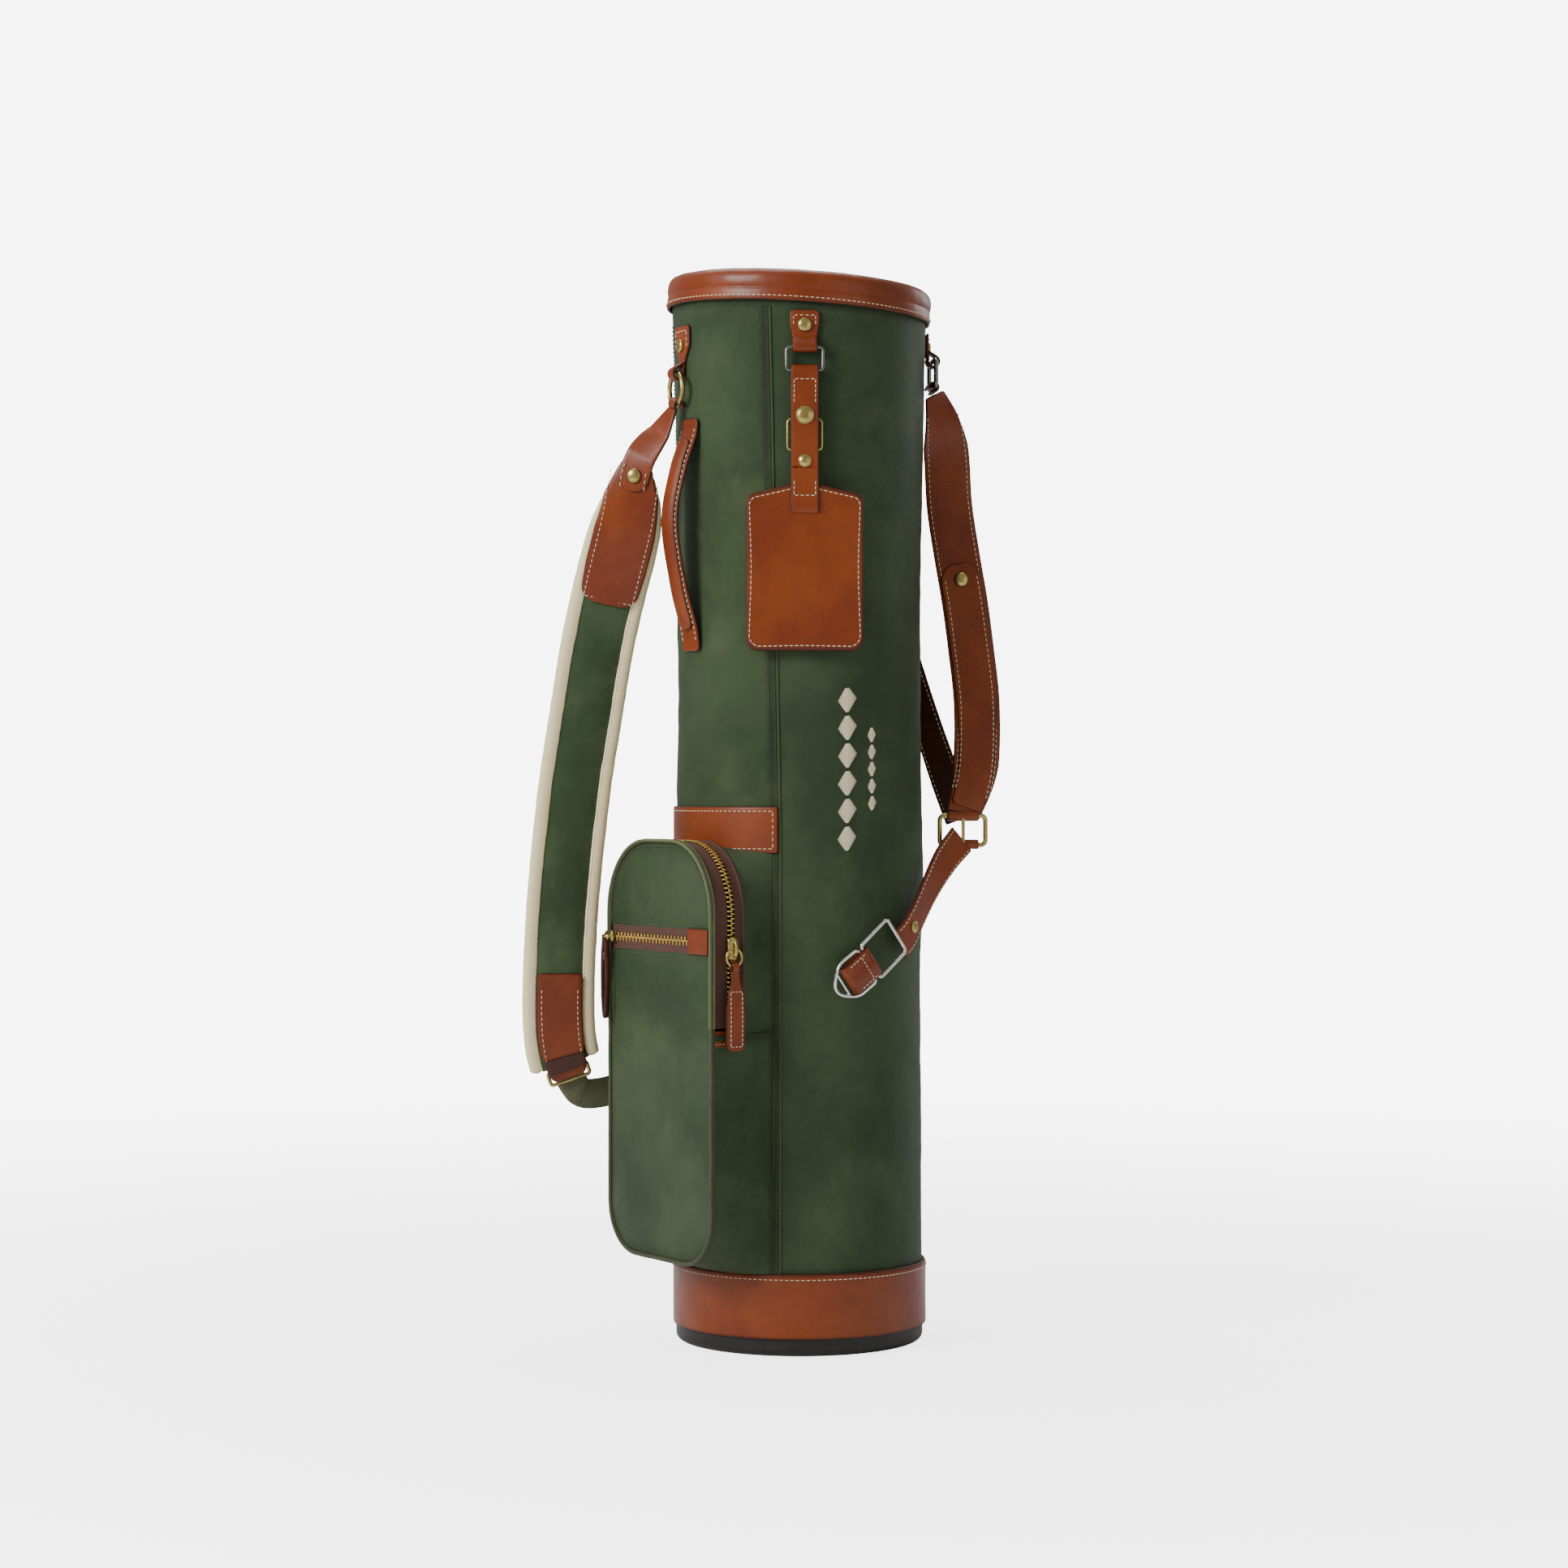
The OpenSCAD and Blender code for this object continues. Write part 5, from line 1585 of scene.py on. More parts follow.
@dataclass
class ZipFurniture:
    """Sliders and pulls of both zips."""

    def build(self) -> None:
        """Builds both sliders and both pulls."""
        low, high = box_mm("main_zip_slider")
        centre = np.array([low.x + 1.4, (low.y + high.y) / 2, (low.z + high.z) / 2])
        self._slider("main_zip", centre, np.array([1.0, 0, 0]), np.array([0, 0, 1.0]), 18.5, 10.5)
        low, high = box_mm("front_zip_slider")
        centre = np.array([(low.x + high.x) / 2, high.y - 1.0, (low.z + high.z) / 2])
        self._slider("front_zip", centre, np.array([0, -1.0, 0]), np.array([1.0, 0, 0]), 14.0, 10.0)
        self._main_pull()
        self._front_pull()

    def _slider(self, zip_name: str, centre: Array, out: Array, run: Array, length: float,
                width: float) -> None:
        """A cast slider: a waisted body with a raised bridge.

        Args:
            zip_name: the zip that it runs on.
            centre: middle of its body.
            out: the way that it faces.
            run: the way that it slides.
            length: its length.
            width: its width.
        """
        along = np.linspace(-0.5, 0.5, 25)[:, None]
        points = centre + run * along * length
        side = np.cross(run, out)
        path = Path(points, np.tile(side, (25, 1)), np.tile(out, (25, 1)))
        widths = [width * k for k in (0.72, 0.86, 0.80, 0.92, 1.0, 0.98, 0.8)]
        maker = Maker().strip(path, widths, 2.6, crown=1.2, tips=(2, 3), pitch=1.0)
        arch = np.array([centre + run * length * 0.34 * math.cos(a) + out * (1.4 + 3.4 * math.sin(a) ** 0.6)
                         for a in np.linspace(0, math.pi, 25)])
        maker.tube(arch, [1.1 + 0.5 * math.sin(a) for a in np.linspace(0, math.pi, 25)], sides=12)
        maker.piece(zip_name + "_slider_body", Finish.BRASS, zip_name + "_runner", zip_name + "_slider")

    def _main_pull(self) -> None:
        """The leather pull: a folded tongue through the ring, stitched along its edges."""
        low, high = box_mm("main_zip_pull")
        x, y = (low.x + high.x) / 2, (low.y + high.y) / 2
        bore = 3.0
        top = high.z - 4.0
        turn = np.radians(np.linspace(250, -60, 20))
        curl = [(x + bore * math.cos(a), y, top + bore * math.sin(a)) for a in turn]
        down = [(x + 1.9 + 0.8 * math.sin(k * 2.6), y, top - 5 - (top - 5 - low.z) * k)
                for k in np.linspace(0, 1, 30)]
        line = np.array([*curl, *down])
        run = unit(np.gradient(line, axis=0))
        side = np.tile([0.0, 1.0, 0.0], (len(line), 1))
        path = Path(line, side, unit(np.cross(side, run)) * -1.0)
        if path.out[-1][0] < 0:
            path.out *= -1
        Maker().strip(path, [6, 6, 6, 9, 15, 16, 16, 16, 16, 16], 2.2, tips=(1, 4), pitch=1.3).piece(
            "main_pull_leather", Finish.TAN, "main_zip_tab", "main_zip_pull")
        back = path.moved(0, -2.7).cut(24, -1.5)
        Maker().strip(back, [10, 15, 15, 15, 15], 2.2, tips=(4, 4)).piece(
            "main_pull_back_ply", Finish.TAN, "main_zip_tab")
        rows = Stitching(3.4, 2.6, 0.6).frame_line(path.cut(30, -1), 15.5, 2.5, 1.25)
        rows.piece("main_pull_stitches", "main_zip_tab")

    def _front_pull(self) -> None:
        """The short zip's pull: a thin dark thong, looped and knotted under the slider."""
        low, high = box_mm("front_zip_pull")
        x, y = (low.x + high.x) / 2, (low.y + high.y) / 2 - 1.8
        turn = np.linspace(0, 2 * math.pi, 61)[:-1]
        height = high.z - 1 - low.z
        line = np.array([
            (x + 5.4 * math.sin(a) * (0.5 - 0.5 * math.cos(a)) ** 0.7, y + 0.8 * math.sin(2 * a),
             high.z - 1 - height * (0.5 - 0.5 * math.cos(a)))
            for a in turn
        ])
        run = unit(np.roll(line, -1, axis=0) - np.roll(line, 1, axis=0))
        side = np.tile([0.0, 1.0, 0.0], (60, 1))
        out = unit(np.cross(side, run))
        shape = [(math.cos(a) * 2.6, math.sin(a) * 1.3) for a in np.linspace(0, 2 * math.pi, 13)[:-1]]
        points = np.array([[p + s * u + o * v for u, v in shape] for p, s, o in zip(line, side, out)])
        maker = Maker().grid(points, ring=True, loop=True)
        knot = [(x, y, z) for z in np.linspace(high.z - 14, high.z - 21, 8)]
        maker.tube(np.array(knot), [2.0, 2.7, 3.0, 3.1, 3.1, 3.0, 2.7, 2.0])
        maker.piece("front_pull_thong", Finish.DARK, "front_zip_tab", "front_zip_pull")
        wire = [(x + side, y, high.z - below) for side, below in ((-5, 3.5), (-2, 1), (2, 1), (5, 3.5))]
        Maker().tube(np.array(wire), 1.0).piece("front_pull_wire", Finish.BRASS, "front_zip_tab")


@dataclass
class Ornament:
    """A plain embroidered motif of diamonds, on the right of the body."""

    body: str = "bag"
    columns: tuple[tuple[float, float, float, int, float], ...] = ((79.0, 400.0, 532.0, 6, 17.0),
                                                                   (92.0, 432.0, 500.0, 5, 9.0))
    thread: float = 0.95

    def build(self) -> None:
        """Lays every diamond in satin stitch."""
        rows = Stitching(1.0, 1.0, 0.95)
        for angle, low, high, count, width in self.columns:
            height = (high - low) / count
            for k in range(count):
                middle = low + height * (k + 0.5)
                for z in np.arange(-height / 2 + 1.6, height / 2 - 1.5, self.thread):
                    size = width * (1 - abs(z) / (height / 2)) ** 0.85
                    if size < 1.2:
                        continue
                    out = radial(angle)
                    point = BARREL.on_skin(angle, middle + z, 0.0)
                    point = point + out * (float(wave(point[None])[0]) + 0.35)
                    lean = unit(radial(angle + 90) + np.array([0, 0, 0.16]))
                    rows.spots.append((point[None], lean[None], out[None], np.array([size])))
        rows.piece("embroidered_diamonds", self.body, Finish.EMBROIDERY)


@dataclass
class Leatherwork:
    """Handle, tabs, anchors and rivets that are fixed to the body."""

    body: str = "bag"
    handle_route: Route = Route(((-2, 1.4, 104, -2), (-2, 3, 118, -2), (-2, 13, 145, -2), (-2, 21, 187, -2),
                                 (-2, 13, 240, -2), (-2, 4, 272, -2), (-2, 1.4, 291, -2)))
    strap_tab: tuple[float, float, float] = (-8.0, 28.0, 7.4)
    tag_tab: tuple[float, float, float] = (59.0, 24.0, 4.8)
    rear_tab: tuple[float, float, float] = (153.0, 30.0, 7.4)

    def build(self) -> None:
        """Builds every piece."""
        self._handle()
        rivets = Maker()
        for name, place, loop, bore, bar, top in (
            ("strap_tab", self.strap_tab, 11.0, 3.6, 66.7, 28.0),
            ("tag_tab", self.tag_tab, 20.0, 1.9, 53.0, 23.0),
            ("rear_tab", self.rear_tab, 12.0, 3.6, 50.0, 28.0),
        ):
            self._tab(name, *place, loop, bore, bar, top)
        for angle, below, size in ((-8, 44, 1.0), (59, 35, 1.08), (153, 38.8, 1.0)):
            out = radial(float(angle))
            rivet(rivets, BARREL.on_skin(float(angle), BARREL.rim - below, 3.0), out, size)
        rivets.piece("tab_rivets", Finish.BRASS, self.body, "body_rivets")
        self._anchors()

    def _handle(self) -> None:
        """The bowed handle: a padded leather strap, sewn down at both ends."""
        path = self.handle_route.path(steps=110)
        total = path.lengths()[-1]
        grip = path.cut(18, total - 18)
        Maker().strip(path, [27, 27, 26, 25, 25, 26, 27, 27], 2.4, tips=(4, 4), ripple=0.3).piece(
            "handle_strap", Finish.TAN, self.body, "carry_handle")
        Maker().strip(grip.moved(0, 1.9), [19, 19, 20, 19, 19], 2.2, crown=2.2, tips=(7, 7)).piece(
            "handle_grip", Finish.TAN, self.body)
        rows = Stitching()
        rows.both_edges(path, 26, 2.6, 1.35, trim=8)
        rows.piece("handle_stitches", self.body)

    def _tab(self, name: str, angle: float, width: float, out: float, loop: float, bore: float,
             bar: float, top: float) -> None:
        """A leather tab whose lower end is turned round a ring.

        Args:
            name: the frame node it stands for.
            angle: where it is, round the body.
            width: its width.
            out: how far the ring's bar is off the canvas.
            loop: width of the turned end.
            bore: radius of the hole in the turned end.
            bar: height of the bar below the rim.
            top: height of its upper edge below the rim.
        """
        rim = BARREL.rim
        wrap = bore + 1.2
        centre = BARREL.on_skin(angle, rim - bar, out)
        face, up = radial(angle), np.array([0.0, 0.0, 1.0])
        turn = np.radians(np.linspace(70, -210, 22))
        curl = [centre + face * wrap * math.cos(t) + up * wrap * math.sin(t) for t in turn]
        start = [BARREL.on_skin(angle, rim - z, 1.5) for z in np.linspace(top, bar - 9, 14)]
        back = [BARREL.on_skin(angle, rim - bar + 8, 0.9)]
        line = np.array([*start, *curl[2:], *back])
        run = unit(np.gradient(line, axis=0))
        side = np.tile(radial(angle + 90), (len(line), 1))
        path = Path(line, side, unit(np.cross(side, run)) * -1.0)
        if np.dot(path.out[0], face) < 0:
            path.out *= -1
        flat = bar - top - 9
        share = flat / path.lengths()[-1]
        knees = [0, share * 0.55, share * 0.98, 1]
        widths = np.interp(np.linspace(0, 1, 40), knees, [width, width, loop, loop])
        Maker().strip(path, list(widths), 2.4, tips=(4, 0), wrap=BARREL.radius * 1.1, pitch=1.6).piece(
            name + "_leather", Finish.TAN, self.body, name)
        rows = Stitching(3.6, 2.7, 0.75)
        patch = path.cut(1.5, flat * 0.72)
        rows.frame_line(patch, width - 0.5, 3.0, 1.35, BARREL.radius * 1.1, ends=(True, False))
        rows.piece(name + "_stitches", self.body)

    def _anchors(self) -> None:
        """Sewn patches where the webbing and the back strap end."""
        maker, rows = Maker(), Stitching(3.4, 2.6, 0.75)
        for angle, below, height in ((-85, 612, 40), (185, 262, 36)):
            z = BARREL.rim - below
            path = skin_drop(angle, z + height / 2, z - height / 2, 1.6)
            maker.strip(path, 34, 2.4, tips=(3, 3), wrap=BARREL.radius)
            rows.frame_line(path, 34, 3.4, 1.35, BARREL.radius)
            cross = path.cut(4, -4)
            for reach in (-12, 12):
                slant = cross.across * np.linspace(reach, -reach, len(cross.points))[:, None]
                rows.line(Path(cross.points + slant + cross.out * 1.1, cross.across, cross.out))
        maker.piece("anchor_patches", Finish.DARK, self.body, "strap_anchors")
        rows.piece("anchor_stitches", self.body)


@dataclass
class ShoulderStrap:
    """The padded shoulder strap with its leather ends and its webbing tail."""

    body: str = "shoulder_strap"
    width: float = 60.0
    binding: float = 12.0
    core: float = 8.0
    face: float = 6.4
    route: Route = Route(((-8, 9, 92, -8), (-11, 18, 112, 12), (-16, 35, 145, 44), (-19, 44, 188, 60),
                          (-25, 57, 244, 66), (-28, 66, 287, 68), (-32, 75, 341, 68), (-35, 84, 394, 68),
                          (-37, 91, 447, 68), (-39, 97, 501, 68), (-41, 101, 554, 68), (-42, 102, 594, 67),
                          (-43, 100, 620, 66), (-45, 94, 645, 64)))
    tail: Route = Route(((-45, 93, 648, 66), (-47, 84, 656, 70), (-52, 66, 654, 78), (-60, 45, 644, 86),
                         (-72, 22, 628, 92), (-85, 6, 612, 95)))

    def build(self) -> None:
        """Builds every piece of the strap."""
        self._band()
        self._leather()
        self._tail()

    def _band(self) -> None:
        """The padded canvas band and its bound edges."""
        path = self.route.path(1.85, 12.4, 160)
        wide = self.width - 2 * self.binding
        maker = Maker().strip(path, [18, 40, *[wide + 8] * 14], self.core, crown=1.9, ripple=0.7, pitch=3.2)
        band = maker.piece("strap_band_cloth", Finish.LIT_STRAP_CANVAS, self.body, "strap_band")
        edge = self.route.path(1.95, 12.4, 165)
        spread = np.interp(np.linspace(1.95, 12.4, 166), [1.95, 2.5, 3.0, 3.4], [7.0, 17.0, 22.5, 24.0])
        binding, rows = Maker(), Stitching(3.6, 2.8, 0.7)
        turn = np.linspace(0, 2 * math.pi, 19)[:-1]
        for side in (-1, 1):
            line = Path(edge.points + edge.across * (side * spread)[:, None], edge.across, edge.out)
            shape = np.stack([np.cos(turn) * 6.2, np.sin(turn) * 5.2], axis=1)
            shape = np.sign(shape) * np.abs(shape / [6.2, 5.2]) ** 0.85 * [6.2, 5.2]
            count = len(line.points)
            size = np.ones(count) + cloudy(line.points, 9.0, 2.0 + side) * 0.05
            size[[0, -1]] = 0.02
            size[[1, -2]] = 0.8
            points = (line.points[:, None]
                      + line.across[:, None] * (shape[None, :, 0] * size[:, None])[..., None]
                      + line.out[:, None] * (shape[None, :, 1] * size[:, None])[..., None])
            binding.grid(points, ring=True)
            rows.line(line.moved(-side * 3.6, 4.7).cut(2, -2))
        binding.piece("strap_edge_binding", Finish.CREAM, self.body, "strap_binding")
        rows.piece("strap_binding_stitches", self.body, Finish.STITCH)

    def _leather(self) -> None:
        """End loop, pad and lower patch, with their stitching and rivet."""
        loop = self.route.path(0.16, 2.42, 70)
        lift = np.interp(np.linspace(0.16, 2.42, 71), [0.16, 1.1, 1.7, 2.42], [0.0, 1.5, 8.4, 9.0])
        loop = Path(loop.points + loop.out * lift[:, None], loop.across, loop.out)
        low, _ = box_mm("strap_ring")
        ring_low = BARREL.on_skin(-8.0, low.z + 2.0, 7.4)
        face, up = radial(-8.0), np.array([0.0, 0.0, 1.0])
        turn = np.radians(np.linspace(-60, 200, 20))
        curl = np.array([ring_low + face * 4.2 * math.cos(t) + up * 4.2 * math.sin(t) for t in turn])
        line = np.concatenate([loop.points[::-1], curl[2:]])
        across = np.concatenate([loop.across[::-1], np.tile(loop.across[0], (18, 1))])
        run = unit(np.gradient(line, axis=0))
        path = Path(line, across, unit(np.cross(across, run)))
        widths = [24, 26, 27, 27, 27, 26, 24, 21, 17, 12, 11, 11]
        Maker().strip(path, widths, 3.0, pitch=1.6, tips=(12, 0)).piece(
            "strap_end_leather", Finish.TAN, self.body, "strap_end_loop")
        rows = Stitching()
        rows.both_edges(self.route.path(1.9, 2.4, 20).moved(0, self.face + 2.9), 25, 2.6, 1.65, trim=1)
        rivets = Maker()
        spot = self.route.path(2.05, 2.15, 4).moved(0, self.face + 5.2)
        rivet(rivets, spot.points[2] - spot.out[2] * 0.8, spot.out[2], 1.15)
        rivets.piece("strap_end_rivet", Finish.BRASS, self.body, "strap_rivet")
        pad = self.route.path(1.75, 4.15, 90).moved(0, self.face)
        Maker().strip(pad, [24, 44, 50, 50, 46], 2.6, crown=0.8, tips=(8, 13), ripple=0.2).piece(
            "shoulder_pad_leather", Finish.TAN, self.body, "shoulder_pad")
        rows.frame_line(pad.cut(12, -1), 47, 3.2, 1.55, ends=(False, True))
        lower = self.route.path(10, 12.75, 60).moved(0, self.face)
        Maker().strip(lower, [38, 38, 38, 30], 2.6, tips=(4, 5), ripple=0.2).piece(
            "strap_lower_leather", Finish.TAN, self.body, "strap_lower_patch")
        rows.both_edges(lower, 36, 3.0, 1.4, trim=13)
        keeper = self.route.path(12.1, 12.5, 20).moved(0, self.face + 2.2)
        Maker().strip(keeper, 34, 2.4).piece("strap_keeper", Finish.DARK, self.body)
        rows.piece("strap_leather_stitches", self.body)

    def _tail(self) -> None:
        """The slide bar and the webbing that runs back to the body."""
        bar = self.route.path(12.5, 12.95, 12).moved(0, -1.2)
        corners = np.array([bar.points[k] + side * bar.across[k] * 17
                            for k, side in ((0, -1), (0, 1), (-1, 1), (-1, -1), (0, -1))])
        ring = spaced(corners, 49)[:-1]
        middle = (ring + np.roll(ring, 1, axis=0) + np.roll(ring, -1, axis=0)) / 3
        slide = Maker().tube(middle, 1.7, closed=True)
        slide.piece("strap_slide", Finish.BRASS, self.body, "strap_slide_bar")
        joined = self.route.path(12.62, 12.95, 8).moved(0, -1.0)
        rest = self.tail.path(0.55, 4.98, 110)
        webbing = Path(*(np.concatenate(pair) for pair in (
            (joined.points, rest.points), (joined.across, rest.across), (joined.out, rest.out))))
        Maker().strip(webbing, 25, 2.0, pitch=2.5, ripple=0.5).piece(
            "strap_webbing_band", Finish.WEBBING, self.body, "strap_webbing")
        rows = Stitching(3.2, 2.5, 0.6)
        rows.frame_line(webbing.cut(0.5, 26), 23, 3, 1.1)
        rows.piece("webbing_stitches", self.body, Finish.GREEN_STITCH)


@dataclass
class NameTag:
    """The hanging tag: squared ring, folded strap with two snaps, and the leather plate."""

    body: str = "name_tag"
    angle: float = 59.0
    out: float = 4.8
    half: float = 46.5
    thick: float = 1.7
    dome: tuple[tuple[float, float], ...] = (
        (0, 2.3), (0.35, 2.2), (0.62, 1.8), (0.8, 1.1), (0.86, 0.9), (0.95, 1.1), (1.0, 0.8), (0.98, -0.3),
        (0, -0.3),
    )
    layers: tuple[tuple[float, float], ...] = (
        (1.0, -1), (0.6, -1), (0.06, -1), (0.02, -0.93), (0.006, -0.6), (0, 0), (0.006, 0.6), (0.02, 0.93),
        (0.05, 1.0), (0.1, 1.03), (0.3, 1.12), (0.6, 1.25), (1.0, 1.3),
    )

    def _place(self, points: Array) -> Array:
        """Puts points drawn in across, outwards and height at the tag's place."""
        face, side = radial(self.angle), radial(self.angle + 90)
        base = BARREL.on_skin(self.angle, BARREL.rim - 53, self.out)
        placed = base + points[..., :1] * side + points[..., 1:2] * face
        placed[..., 2] = points[..., 2]
        return placed

    def build(self) -> None:
        """Builds every piece of the tag."""
        low, high = box_mm("tag_strap")
        rim, front = BARREL.rim, 3.2
        top, bottom = high.z - 4.3, low.z + 4.3
        turn_top = np.radians(np.linspace(0, 180, 12))
        turn_low = np.radians(np.linspace(180, 360, 12))
        line = [(0, front, z) for z in np.linspace(rim - 150, top, 26)]
        line += [(0, front * math.cos(t), top + front * math.sin(t)) for t in turn_top[1:]]
        line += [(0, -front, z) for z in np.linspace(top, bottom, 40)[1:]]
        line += [(0, front * math.cos(t), bottom + front * math.sin(t)) for t in turn_low[1:]]
        line += [(0, front, z) for z in np.linspace(bottom, rim - 146, 12)[1:]]
        points = self._place(np.array(line, float))
        run = unit(np.gradient(points, axis=0))
        side = np.tile(radial(self.angle + 90), (len(points), 1))
        out = unit(np.cross(side, run))
        path = Path(points, side, out if np.dot(out[5], radial(self.angle)) > 0 else -out)
        Maker().strip(path, 22, 2.2, pitch=1.7, ripple=0.15).piece(
            "tag_strap_leather", Finish.TAN, self.body, "tag_strap")
        face = self._place(np.array([(0, front, z) for z in np.linspace(top - 3, bottom + 3, 50)], float))
        away = np.tile(radial(self.angle), (50, 1))
        front_path = Path(face, np.tile(radial(self.angle + 90), (50, 1)), away)
        rows = Stitching(3.6, 2.8, 0.75)
        total = front_path.lengths()[-1]
        rows.frame_line(front_path.cut(2, 26), 22, 2.6, 1.3, ends=(True, False))
        rows.frame_line(front_path.cut(total - 22, total - 5), 22, 2.6, 1.3, ends=(False, True))
        rows.piece("tag_strap_stitches", self.body)
        snaps = Maker()
        for below, size in ((107, 7.2), (143, 5.2)):
            centre = self._place(np.array([0, front + 1.1, rim - below], float))
            snaps.turning(centre, radial(self.angle), [(r * size, h) for r, h in self.dome])
        snaps.piece("tag_snap_caps", Finish.BRASS, self.body, "tag_snaps")
        keeper = rounded(10.5, 9.0, 3.0, 6)
        loop = self._place(np.array([(x, -0.6, rim - 122 + z) for x, z in keeper], float))
        Maker().tube(loop, 1.2, closed=True).piece("tag_keeper_frame", Finish.BRASS, self.body)
        self._plate()

    def _plate(self) -> None:
        """The name plate: two layers of leather with a stitched edge and a peaked top."""
        low, high = box_mm("tag_plate")
        top = high.z
        line = [(0.0, low.z)]
        for x, z, r, a0, a1 in ((self.half - 9, low.z + 9, 9, -90, 0), (self.half - 7, top - 14, 7, 0, 75)):
            turn = np.radians(np.linspace(a0, a1, 13))
            line += [(x + r * math.cos(t), z + r * math.sin(t)) for t in turn]
        line += [(11.0, top), (4.0, top + 0.2)]
        right = np.array(line)
        left = right[::-1] * [-1, 1]
        ring = spaced(np.concatenate([right, left[:-1], right[:1]]), 145)[:-1]
        centre = np.array([0, (low.z + top) / 2])
        reach = ring - centre
        plans = [(centre + reach * (1 - inset), depth * self.thick) for inset, depth in self.layers]
        points = np.array([np.insert(plan, 1, depth, axis=1) for plan, depth in plans])
        points[..., 1] += cloudy(points, 30.0, 6.6) * 0.25
        edge = np.array([0, 0, 0.4, 0.9, 1, 1, 1, 0.9, 0.45, 0.15, 0, 0, 0])[:, None]
        Maker().grid(self._place(points), ring=True, edge=edge).piece(
            "tag_plate_leather", Finish.TAN, self.body, "tag_plate")
        inner = centre + reach * (1 - 4.2 / np.linalg.norm(reach, axis=1, keepdims=True))
        line = self._place(np.insert(inner, 1, self.thick + 0.15, axis=1))
        away = np.tile(radial(self.angle), (len(line), 1))
        edge_rows = Stitching(4.2, 3.2, 0.8)
        edge_rows.line(Path(line, away, away, True)).piece("tag_plate_stitches", self.body)


